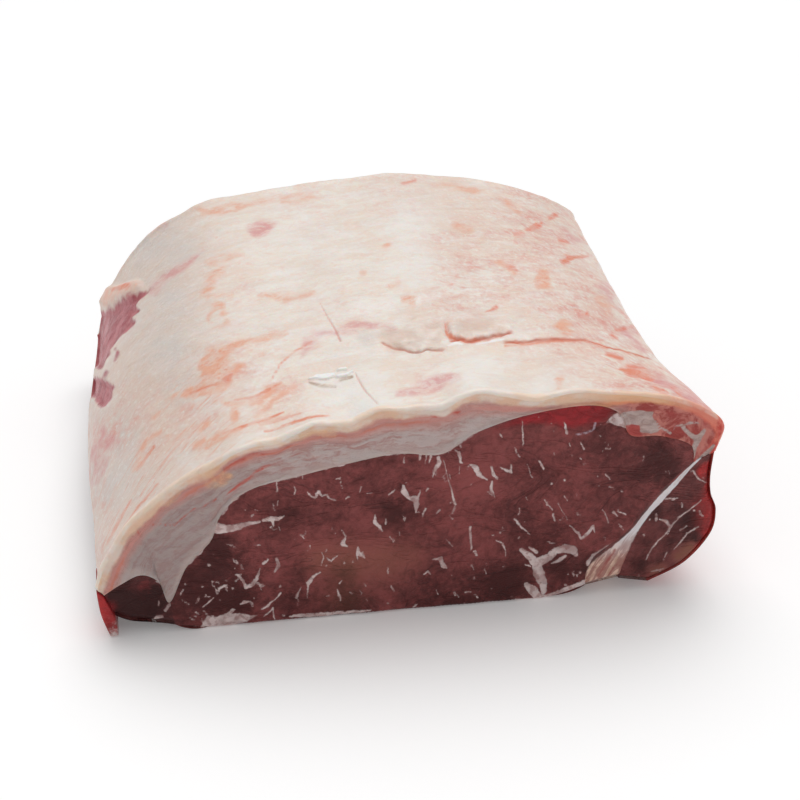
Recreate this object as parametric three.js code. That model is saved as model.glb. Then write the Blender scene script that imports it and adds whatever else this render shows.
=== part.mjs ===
// A raw beef striploin joint, cut straight across, lying on its lean side with the fat cap up.
// Millimetres. X runs along the cut face, Y runs from the cut face into the joint, Z is up.
// The origin is on the table, under the middle of the joint. The cut face is at the lowest Y.

import * as THREE from 'three';
import { mergeVertices } from 'three/addons/utils/BufferGeometryUtils.js';

// Driving sizes of the whole joint
const LENGTH = 230;
const TOP_RISE = 7.5;
const SHOULDER_RISE = 6;
const SHOULDER_X = -68;
const LEFT_BULGE = 4.3;
const WAIST = 8.5;
const END_BULGE = 8;
const RIGHT_CORNER_CUT = 25;
const LEFT_CORNER_CUT = 8;
const LAYER_GAP = 0.3;

// The crack across the top: its distance behind the cut face, and where it starts and ends
const CRACK_PLACE = 50;
const CRACK_START = -2;
const CRACK_END = 100;
const CRACK_DRIFT = 24;
const CRACK_DEPTH = 2.4;
const CRACK_HALF_WIDTH = 2.6;

// How fine the solids are divided, in cells
const CELLS_A_STATION = 2;
const CAP_CELLS = 2;
const LEAN_CELLS = 6;
const FINE_STEP = 2.5;
const COARSE_STEP = 13;

// The fat cap at the cut face, from its lower rim at the left, over the top, to its right end.
// Each station is a point of the outer skin, x and z, and the point of the lean side under it.
const CAP = [
  { skin: [-110.8, 20.5], lean: [-108.4, 18.2] },
  { skin: [-108, 29], lean: [-102, 22.3] },
  { skin: [-103, 37.5], lean: [-95, 25.3] },
  { skin: [-97, 45], lean: [-89, 21.8] },
  { skin: [-91, 51.5], lean: [-85.7, 13] },
  { skin: [-83, 58.5], lean: [-79, 27] },
  { skin: [-73, 65], lean: [-70, 37] },
  { skin: [-60, 71.2], lean: [-66, 47] },
  { skin: [-45, 75.3], lean: [-56, 56] },
  { skin: [-28, 78.7], lean: [-37, 60.5] },
  { skin: [-10, 82], lean: [-6, 66] },
  { skin: [7, 83.5], lean: [11.5, 64.6] },
  { skin: [24, 85.5], lean: [24, 72] },
  { skin: [44, 84.5], lean: [42, 77.5] },
  { skin: [66, 84], lean: [64, 79.6] },
  { skin: [84, 81.8], lean: [75.5, 75.5] },
  { skin: [97, 78.5], lean: [80, 66.5] },
  { skin: [107, 74], lean: [91, 65.3] },
  { skin: [114.5, 67], lean: [102.5, 60.8] },
  { skin: [112.2, 57], lean: [104.5, 53.5] },
];
const WHITE_POINT = 4;

// The diagonal seam of silverskin and fat, from the underside up to the fat cap
const SEAM_LEFT = [[66.5, 3.5], [66.8, 10], [70, 17.5], [79.5, 24.5], [85.5, 32.3], [93, 42], [104.5, 53.5]];
const SEAM_RIGHT = [[79.5, 6], [80.5, 11], [83, 18.5], [86, 26.5], [90, 33], [95.8, 39.8], [107.5, 54.9]];

// The outer side of the side muscle, from the underside up to the fat cap
const SIDE_SKIN = [[91, 3.6], [104.5, 10.5], [113.6, 22], [115, 32], [112.4, 39.5], [111.6, 47], [112.2, 57]];

// The underside of the tail muscle, from the left side to the eye muscle
const TAIL_FOOT = [[-105, 8], [-100, 5.4], [-93, 4], [-88, 3], [-84.3, 2]];

// The loose flap of lean at the left corner, from its tip up to the rim of the fat
const FLAP_LEFT = [[-107.6, 0.5], [-110.2, 10], [-111, 20.1]];
const FLAP_RIGHT = [[-104.6, 0.5], [-105.3, 8.4], [-108.6, 17.8]];
const FLAP_LENGTH = 18;

// The eye muscle stands flat between these two places, and its ends lift off the table
const FLAT_START = -74;
const FLAT_END = 50;

// Scallops along the cut rim of the fat: place, height and half width
const SCALLOPS = [
  [-97, 1.2, 4], [-68, -1.2, 5], [-46, -1.6, 4], [-32, 2, 4.5], [-20, -1.5, 4],
  [-9, 1.6, 5], [12, -1.8, 5], [25, 2, 7], [45, -1.8, 6], [60, 0.8, 7],
];
const SCALLOP_REACH = 11;

const FRONT = -LENGTH / 2;
const FAR_END = LENGTH - END_BULGE;
const MID_HEIGHT = 45;

const fat = { color: 0xe6d8c8, roughness: 0.42, metalness: 0 };
const lean = { color: 0x6a3230, roughness: 0.38, metalness: 0 };
const seam = { color: 0xd8c6ba, roughness: 0.4, metalness: 0 };
const redLean = { color: 0xa6312c, roughness: 0.35, metalness: 0 };

const smooth = THREE.MathUtils.smoothstep;
const bell = (value, centre, halfWidth) => Math.exp(-(((value - centre) / halfWidth) ** 2));
const curve = (points) => new THREE.SplineCurve(points.map(([x, z]) => new THREE.Vector2(x, z)));

const capSkin = curve(CAP.map((station) => station.skin));
const capLean = curve(CAP.map((station) => station.lean));
const seamLeft = curve(SEAM_LEFT);
const seamRight = curve(SEAM_RIGHT);
const sideSkin = curve(SIDE_SKIN);
const tailFoot = curve(TAIL_FOOT);
const flapLeft = curve(FLAP_LEFT);
const flapRight = curve(FLAP_RIGHT);
const whitePoint = WHITE_POINT / (CAP.length - 1);

// The underside of the eye muscle, from the tail muscle to the seam
function eyeFoot(across) {
  const [leftX, leftZ] = TAIL_FOOT[TAIL_FOOT.length - 1];
  const [rightX, rightZ] = SEAM_LEFT[0];
  const x = THREE.MathUtils.lerp(leftX, rightX, across);
  const leftLift = Math.max(0, (FLAT_START - x) / (FLAT_START - leftX));
  const rightLift = Math.max(0, (x - FLAT_END) / (rightX - FLAT_END));
  return new THREE.Vector2(x, leftZ * leftLift ** 2 + rightZ * rightLift ** 2);
}

// Sections at the cut face: across runs left to right and up runs from the inner side outward
const between = (low, high, share) => low.clone().lerp(high, share);

const capSection = (across, up) => between(capLean.getPoint(across), capSkin.getPoint(across), up);

const tailSection = (across, up) => between(tailFoot.getPoint(across), capLean.getPoint(across * whitePoint), up);

function eyeSection(across, up) {
  const top = (share) => capLean.getPoint(THREE.MathUtils.lerp(whitePoint, 1, share));
  const straight = between(eyeFoot(1), top(1), up);
  const bend = seamLeft.getPoint(up).sub(straight).multiplyScalar(across ** 3);
  return between(eyeFoot(across), top(across), up).add(bend);
}

const seamSection = (across, up) => between(seamLeft.getPoint(up), seamRight.getPoint(up), across);

const sideSection = (across, up) => between(seamRight.getPoint(up), sideSkin.getPoint(up), across);

const flapSection = (across, up) => between(flapLeft.getPoint(up), flapRight.getPoint(up), across);

// Moves a point on a side that touches a neighbour inward by half of the gap between the layers
function withGap(section, across, up, touching) {
  const nudge = 0.004;
  const point = section(across, up);
  const inward = (from, to, turn) => {
    const along = to.clone().sub(from).normalize();
    return new THREE.Vector2(along.y * turn, -along.x * turn).multiplyScalar(LAYER_GAP / 2);
  };
  const crosswise = (turn) =>
    inward(section(Math.max(0, across - nudge), up), section(Math.min(1, across + nudge), up), turn);
  const upward = (turn) =>
    inward(section(across, Math.max(0, up - nudge)), section(across, Math.min(1, up + nudge)), turn);
  const moved = point.clone();
  if (touching.includes('top') && up === 1) moved.add(crosswise(1));
  if (touching.includes('bottom') && up === 0) moved.add(crosswise(-1));
  if (touching.includes('left') && across === 0) moved.add(upward(1));
  if (touching.includes('right') && across === 1) moved.add(upward(-1));
  return moved;
}

// How long the joint is at a point of its section: the far end swells, and its corners are cut short
function lengthAt(x, z) {
  const swell = END_BULGE * Math.sin(Math.PI * THREE.MathUtils.clamp(z / (2 * MID_HEIGHT), 0, 1));
  return FAR_END + swell - RIGHT_CORNER_CUT * smooth(x, 28, 112) - LEFT_CORNER_CUT * smooth(-x, 15, 75);
}

// The joint is the cut section carried along Y, higher at the far end, fuller at the left and
// drawn in at the right
function placed(point, along) {
  const fuller = smooth(along, 0, 0.5) - 0.6 * smooth(along, 0.65, 1);
  const distance = along * LENGTH;
  const leftness = smooth(-point.x, 55, 108);
  const rightness = smooth(point.x, 55, 108);
  const rise = along * (TOP_RISE + SHOULDER_RISE * bell(point.x, SHOULDER_X, 35));
  const drawnIn = smooth(distance, 0, 75) - 0.5 * smooth(distance, 110, 220);
  const x = point.x - LEFT_BULGE * fuller * leftness - WAIST * drawnIn * rightness;
  const y = FRONT + along * lengthAt(point.x, point.y);
  const z = point.y + rise * smooth(point.y, 0, 55);
  return new THREE.Vector3(x, y, z);
}

// Relief of the outer skin: scallops at the cut rim, the crack with a lump behind it and a dip in
// front of it, and low swells
function skinRelief(x, distance) {
  let height = 0;
  for (const [place, lift, halfWidth] of SCALLOPS) {
    height += lift * bell(x, place, halfWidth) * Math.exp(-distance / SCALLOP_REACH);
  }
  const cracked = smooth(x, CRACK_START - 4, CRACK_START + 4) * (1 - smooth(x, CRACK_END - 8, CRACK_END));
  height -= cracked * CRACK_DEPTH * bell(distance, CRACK_PLACE, CRACK_HALF_WIDTH);
  height += 2 * bell(x, 9, 12) * bell(distance, CRACK_PLACE + 7, 5);
  height -= 1.2 * cracked * bell(distance, CRACK_PLACE - 12, 9);
  height += 0.7 * Math.sin(x / 15 + 1.3) * Math.cos(distance / 21 + 0.4) * smooth(distance, 0, 30);
  return height;
}

// Shared dividing lines along the joint, close together at the cut face and at the crack
const STEPS = [0];
while (STEPS[STEPS.length - 1] < LENGTH - COARSE_STEP) {
  const last = STEPS[STEPS.length - 1];
  const nearCrack = Math.abs(last - CRACK_PLACE) < 4 * FINE_STEP;
  const nearCut = last < 3 * FINE_STEP;
  STEPS.push(last + (nearCrack ? FINE_STEP : nearCut ? 2 * FINE_STEP : COARSE_STEP));
}
STEPS.push(LENGTH);

// A closed solid between two dividing lines: a divided box whose points are carried to the section
function layer({ name, section, across, up, touching, look, place = placed, length = LENGTH }) {
  const steps = STEPS.filter((step) => step < length).concat(length);
  const box = new THREE.BoxGeometry(1, 1, 1, across, steps.length - 1, up);
  box.deleteAttribute('normal');
  box.deleteAttribute('uv');
  const geometry = mergeVertices(box, 1e-6);
  const position = geometry.attributes.position;
  for (let index = 0; index < position.count; index += 1) {
    const crossShare = Math.round((position.getX(index) + 0.5) * across) / across;
    const upShare = Math.round((position.getZ(index) + 0.5) * up) / up;
    const along = steps[Math.round((position.getY(index) + 0.5) * (steps.length - 1))] / LENGTH;
    const point = place(withGap(section, crossShare, upShare, touching), along, crossShare, upShare);
    position.setXYZ(index, point.x, point.y, Math.max(0, point.z));
  }
  geometry.computeVertexNormals();
  const mesh = new THREE.Mesh(geometry, new THREE.MeshStandardMaterial(look));
  mesh.name = name;
  return mesh;
}

// The fat cap's skin also has the relief, and its dividing lines follow the crack as it drifts
function placedSkin(point, along, across, up) {
  const distance = along * LENGTH;
  const reach = bell(distance, CRACK_PLACE, 30) * smooth(distance, 0, 15);
  const drift = CRACK_DRIFT * smooth(point.x, 62, CRACK_END) * reach;
  const onSkin = placed(point, along - (drift * up) / LENGTH);
  const before = capSkin.getPoint(Math.max(0, across - 0.004));
  const after = capSkin.getPoint(Math.min(1, across + 0.004));
  const run = after.sub(before).normalize();
  const relief = skinRelief(point.x, distance) * up;
  return onSkin.add(new THREE.Vector3(-run.y * relief, 0, run.x * relief));
}

const stations = CAP.length - 1;
const joint = new THREE.Group();
joint.add(layer({
  name: 'fat_cap',
  section: capSection,
  across: stations * CELLS_A_STATION,
  up: CAP_CELLS,
  touching: ['bottom', 'left', 'right'],
  look: fat,
  place: placedSkin,
}));
joint.add(layer({
  name: 'eye_lean',
  section: eyeSection,
  across: (stations - WHITE_POINT) * CELLS_A_STATION,
  up: LEAN_CELLS,
  touching: ['top', 'left', 'right'],
  look: lean,
}));
joint.add(layer({
  name: 'tail_lean',
  section: tailSection,
  across: WHITE_POINT * CELLS_A_STATION,
  up: 3,
  touching: ['top', 'left', 'right'],
  look: lean,
}));
joint.add(layer({
  name: 'seam_fat',
  section: seamSection,
  across: 1,
  up: LEAN_CELLS,
  touching: ['top', 'left', 'right'],
  look: seam,
}));
joint.add(layer({
  name: 'side_lean',
  section: sideSection,
  across: 4,
  up: LEAN_CELLS,
  touching: ['top', 'left'],
  look: lean,
}));
joint.add(layer({
  name: 'corner_flap',
  section: flapSection,
  across: 2,
  up: 4,
  touching: ['top', 'right'],
  look: redLean,
  length: FLAP_LENGTH,
}));

export default joint;
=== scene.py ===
"""A raw beef striploin joint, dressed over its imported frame: cream fat cap, dark marbled lean, silverskin."""

import math

import bmesh
import bpy
import numpy as np
from bpy.props import FloatProperty, FloatVectorProperty, PointerProperty
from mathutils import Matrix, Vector


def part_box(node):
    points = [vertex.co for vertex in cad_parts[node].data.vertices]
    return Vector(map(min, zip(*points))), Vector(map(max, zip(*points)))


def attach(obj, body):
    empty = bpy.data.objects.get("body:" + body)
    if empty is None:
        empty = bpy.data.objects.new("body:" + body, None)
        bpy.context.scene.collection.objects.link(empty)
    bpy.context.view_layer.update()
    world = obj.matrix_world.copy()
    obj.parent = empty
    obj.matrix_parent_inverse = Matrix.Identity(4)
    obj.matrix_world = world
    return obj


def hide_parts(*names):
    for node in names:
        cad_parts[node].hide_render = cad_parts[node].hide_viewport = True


bl_info = {
    "name": "Raw beef joint",
    "version": (1, 0, 0),
    "blender": (4, 5, 0),
    "location": "3D View > Sidebar > Beef joint",
    "description": "Builds the fat cap, the muscles, the seam and the stage of a raw beef joint",
    "category": "Add Mesh",
}

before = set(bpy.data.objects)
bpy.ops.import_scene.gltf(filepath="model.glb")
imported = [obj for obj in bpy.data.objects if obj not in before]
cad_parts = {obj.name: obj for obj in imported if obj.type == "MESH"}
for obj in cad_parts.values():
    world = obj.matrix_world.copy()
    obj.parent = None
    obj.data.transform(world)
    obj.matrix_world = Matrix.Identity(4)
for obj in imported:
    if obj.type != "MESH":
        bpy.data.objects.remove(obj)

# Sizes that come from the frame, in metres
CUT_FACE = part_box("eye_lean")[0][1]
BACK_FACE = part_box("eye_lean")[1][1]
LENGTH = BACK_FACE - CUT_FACE
FLAP_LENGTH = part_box("corner_flap")[1][1] - CUT_FACE
MM = 0.001

# The carried-along form of the joint
TOP_RISE = 7.5 * MM
SHOULDER_RISE = 6 * MM
SHOULDER_X = -68 * MM
LEFT_BULGE = 4.3 * MM
WAIST = 8.5 * MM
END_BULGE = 8 * MM
RIGHT_CORNER_CUT = 25 * MM
LEFT_CORNER_CUT = 8 * MM
MID_HEIGHT = 45 * MM

# The crack across the top, measured from the cut face
CRACK_PLACE = 50 * MM
CRACK_START = -2 * MM
CRACK_END = 100 * MM
CRACK_DRIFT = 24 * MM

# Outlines of the cut face in millimetres, x and z. The fat cap has a skin point and a lean point
# at each station, from the lower rim at the left, over the top, to the right end.
CAP_SKIN = [
    (-110.8, 20.5), (-108, 29), (-103, 37.5), (-97, 45), (-91, 51.5), (-83, 58.5), (-73, 65),
    (-60, 71.2), (-45, 75.3), (-28, 78.7), (-10, 82), (7, 83.5), (24, 85.5), (44, 84.5), (66, 84),
    (84, 81.8), (97, 78.5), (107, 74), (114.5, 67), (112.2, 57),
]
CAP_LEAN = [
    (-108.4, 18.2), (-102, 22.3), (-95, 25.3), (-89, 21.8), (-85.7, 13), (-79, 27), (-70, 37),
    (-66, 47), (-56, 56), (-37, 60.5), (-6, 66), (11.5, 64.6), (24, 72), (42, 77.5), (64, 79.6),
    (75.5, 75.5), (80, 66.5), (91, 65.3), (102.5, 60.8), (104.5, 53.5),
]
WHITE_POINT = 4 / (len(CAP_LEAN) - 1)
SEAM_LEFT = [(66.5, 3.5), (66.8, 10), (70, 17.5), (79.5, 24.5), (85.5, 32.3), (93, 42), (104.5, 53.5)]
SEAM_RIGHT = [(79.5, 6), (80.5, 11), (83, 18.5), (86, 26.5), (90, 33), (95.8, 39.8), (107.5, 54.9)]
SIDE_SKIN = [(91, 3.6), (104.5, 10.5), (113.6, 22), (115, 32), (112.4, 39.5), (111.6, 47), (112.2, 57)]
TAIL_FOOT = [(-105, 8), (-100, 5.4), (-93, 4), (-88, 3), (-84.3, 2)]
FLAP_LEFT = [(-107.6, 0.5), (-110.2, 10), (-111, 20.1)]
FLAP_RIGHT = [(-104.6, 0.5), (-105.3, 8.4), (-108.6, 17.8)]
FLAT_START = -74 * MM
FLAT_END = 50 * MM

# Scallops along the cut rim of the fat: place, height and half width, in millimetres
SCALLOPS = [
    (-97, 1.2, 4), (-68, -1.2, 5), (-46, -1.6, 4), (-32, 2, 4.5), (-20, -1.5, 4),
    (-9, 1.6, 5), (12, -1.8, 5), (25, 2, 7), (45, -1.8, 6), (60, 0.8, 7),
]
SCALLOP_REACH = 11 * MM

# Directions of the streaks on the unrolled skin, and the lean of the seam, in radians
DIAGONAL = 0.6
SEAM_LEAN = 0.55

# The camera that the photograph was solved with
PHOTO_SIZE = 800
CAMERA_PLACE = Vector((-0.0795, -0.5987, 0.3311))
CAMERA_PITCH = math.radians(26.5)
CAMERA_YAW = math.radians(9)
LENS = 72
SENSOR = 36


# Smooth helpers on numpy arrays


def smooth(value, low, high):
    """Rises softly from 0 at low to 1 at high."""
    share = np.clip((value - low) / (high - low), 0, 1)
    return share * share * (3 - 2 * share)


def bell(value, centre, half_width):
    """1 at the centre, and falls softly to 0 on both sides."""
    return np.exp(-(((value - centre) / half_width) ** 2))


def mix(low, high, share):
    """Goes straight from low, where the share is 0, to high, where it is 1."""
    return low + (high - low) * share


def column(values):
    """One value for each row, to be multiplied with points."""
    return np.asarray(values)[:, None]


def spline(points, share):
    """Points of a smooth curve through the outline at shares from 0 to 1, in metres."""
    outline = np.array(points) * MM
    last = len(outline) - 1
    place = np.clip(share, 0, 1) * last
    index = np.minimum(place.astype(int), last - 1)
    part = column(place - index)
    before = outline[np.where(index == 0, 0, index - 1)]
    start = outline[index]
    end = outline[index + 1]
    after = outline[np.minimum(index + 2, last)]
    out_slope = (end - before) / 2
    in_slope = (after - start) / 2
    return (
        (2 * start - 2 * end + out_slope + in_slope) * part**3
        + (3 * end - 3 * start - 2 * out_slope - in_slope) * part**2
        + out_slope * part
        + start
    )


def lattice(points, size, seed):
    """Smooth random values from -1 to 1, with bumps of about that size, at points in space."""
    place = points / size + seed * 7.31
    cell = np.floor(place).astype(np.int64)
    part = place - cell
    ease = part * part * (3 - 2 * part)
    total = np.zeros(len(points))
    for corner in range(8):
        step = np.array([corner & 1, corner >> 1 & 1, corner >> 2 & 1])
        key = ((cell + step) * np.array([73856093, 19349663, 83492791])).sum(1) + seed * 9176
        key = (key ^ key >> 13) * 1274126177 & 0xFFFFFFFF
        key = (key ^ key >> 16) & 0xFFFF
        weight = np.where(step == 1, ease, 1 - ease).prod(1)
        total += weight * (key / 32767.5 - 1)
    return total


def crags(points, size, seed, octaves=3):
    """Several sizes of lattice noise added up, the finer ones weaker."""
    total = 0
    for octave in range(octaves):
        total = total + lattice(points, size / 2**octave, seed + octave) / 2**octave
    return total


# The sections of the layers at the cut face. across runs left to right, and up outward, 0 to 1.


def eye_foot(across):
    """The eye's underside, which is flat in the middle and lifted at both ends."""
    left = np.array(TAIL_FOOT[-1]) * MM
    right = np.array(SEAM_LEFT[0]) * MM
    x = mix(left[0], right[0], across)
    left_lift = np.maximum(0, (FLAT_START - x) / (FLAT_START - left[0]))
    right_lift = np.maximum(0, (x - FLAT_END) / (right[0] - FLAT_END))
    return np.stack([x, left[1] * left_lift**2 + right[1] * right_lift**2], 1)


def eye_top(across):
    return spline(CAP_LEAN, mix(WHITE_POINT, 1, across))


def cap_section(across, up):
    return mix(spline(CAP_LEAN, across), spline(CAP_SKIN, across), column(up))


def tail_section(across, up):
    return mix(spline(TAIL_FOOT, across), spline(CAP_LEAN, across * WHITE_POINT), column(up))


def eye_section(across, up):
    ends = np.ones_like(across)
    straight = mix(eye_foot(ends), eye_top(ends), column(up))
    bend = (spline(SEAM_LEFT, up) - straight) * column(across**3)
    return mix(eye_foot(across), eye_top(across), column(up)) + bend


def seam_section(across, up):
    return mix(spline(SEAM_LEFT, up), spline(SEAM_RIGHT, up), column(across))


def side_section(across, up):
    return mix(spline(SEAM_RIGHT, up), spline(SIDE_SKIN, up), column(across))


def flap_section(across, up):
    return mix(spline(FLAP_LEFT, up), spline(FLAP_RIGHT, up), column(across))


def placed(section, along):
    """The joint is its section carried along Y, higher at the far end and drawn in at the right."""
    x, z = section[:, 0], section[:, 1]
    fuller = smooth(along, 0, 0.5) - 0.6 * smooth(along, 0.65, 1)
    distance = along * LENGTH
    leftness = smooth(-x, 55 * MM, 108 * MM)
    rightness = smooth(x, 55 * MM, 108 * MM)
    rise = along * (TOP_RISE + SHOULDER_RISE * bell(x, SHOULDER_X, 35 * MM))
    drawn_in = smooth(distance, 0, 75 * MM) - 0.5 * smooth(distance, 110 * MM, 220 * MM)
    swell = END_BULGE * np.sin(np.pi * np.clip(z / (2 * MID_HEIGHT), 0, 1))
    right_corner = RIGHT_CORNER_CUT * smooth(x, 28 * MM, 112 * MM)
    left_corner = LEFT_CORNER_CUT * smooth(-x, 15 * MM, 75 * MM)
    return np.stack([
        x - LEFT_BULGE * fuller * leftness - WAIST * drawn_in * rightness,
        CUT_FACE + along * (LENGTH - END_BULGE + swell - right_corner - left_corner),
        z + rise * smooth(z, 0, 55 * MM),
    ], 1)


# Places read from the photograph, as pixels of its 800 by 800 frame


def camera_axes():
    """Forward, right and up of the photograph's camera."""
    forward = Vector((
        math.sin(CAMERA_YAW) * math.cos(CAMERA_PITCH),
        math.cos(CAMERA_YAW) * math.cos(CAMERA_PITCH),
        -math.sin(CAMERA_PITCH),
    ))
    right = Vector((math.cos(CAMERA_YAW), -math.sin(CAMERA_YAW), 0))
    return forward, right, right.cross(forward)


def seen_at(points):
    """The pixels of the photograph at which points show."""
    forward, right, up = (np.array(axis) for axis in camera_axes())
    offset = points - np.array(CAMERA_PLACE)
    depth = (offset @ forward) * SENSOR / LENS / PHOTO_SIZE
    return PHOTO_SIZE / 2 + np.stack([offset @ right / depth, -(offset @ up) / depth], 1)


# The size of a pixel on the cut face, and how far from a stroke its depth is reckoned, in pixels
PIXEL = 0.365 * MM
REACH = 12.0


def close_by(points, spots, reach):
    """The numbers of the points within reach of the box around some spots."""
    return np.nonzero(((points > spots.min(0) - reach) & (points < spots.max(0) + reach)).all(1))[0]


def nearest_on(run, offset):
    """The share along a straight run that is nearest to points, given from its start, and how far it is."""
    share = np.clip(offset @ run / (run @ run), 0, 1)
    return share, np.linalg.norm(offset - column(share) * run, axis=1)


def inside_strokes(points, strokes, reach=REACH):
    """How deep each point lies inside the nearest stroke, below zero outside, in pixels.
    A stroke is a list of places, each with its half width."""
    field = np.full(len(points), -reach)
    for stroke in strokes:
        spots = np.array(stroke, dtype=float)
        if len(spots) == 1:
            spots = np.repeat(spots, 2, 0)
            spots[1, 0] += 0.01
        spots, widths = spots[:, :-1], spots[:, -1]
        near = close_by(points, spots, reach)
        best = np.full(len(near), -reach)
        for begin, finish, begin_width, finish_width in zip(spots, spots[1:], widths, widths[1:]):
            share, distance = nearest_on(finish - begin, points[near] - begin)
            best = np.maximum(best, mix(begin_width, finish_width, share) - distance)
        field[near] = np.maximum(field[near], best)
    return field


def inside_outlines(points, outlines):
    """The same for closed outlines, each a list of places."""
    field = np.full(len(points), -REACH)
    for outline in outlines:
        corners = np.array(outline, dtype=float)
        near = close_by(points, corners, REACH)
        edge = np.full(len(near), REACH)
        inside = np.zeros(len(near), dtype=bool)
        for begin, finish in zip(corners, np.roll(corners, -1, 0)):
            run = finish - begin
            offset = points[near] - begin
            edge = np.minimum(edge, nearest_on(run, offset)[1])
            across = run[0] * offset[:, 1] - run[1] * offset[:, 0]
            rising = (offset[:, 1] >= 0) & (points[near, 1] < finish[1]) & (across < 0)
            falling = (offset[:, 1] < 0) & (points[near, 1] >= finish[1]) & (across > 0)
            inside ^= rising | falling
        field[near] = np.maximum(field[near], np.where(inside, edge, -edge))
    return field


def patches(points, spots):
    """Soft round patches added up, each a pixel, a radius and a strength."""
    total = np.zeros(len(points))
    for x, y, radius, strength in spots:
        total += strength * np.exp(-(((points - (x, y)) / radius) ** 2).sum(1))
    return total


# What the photograph shows on the lean cut face: white flecks, among them two painted glints, as pixels and
# half widths

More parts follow.
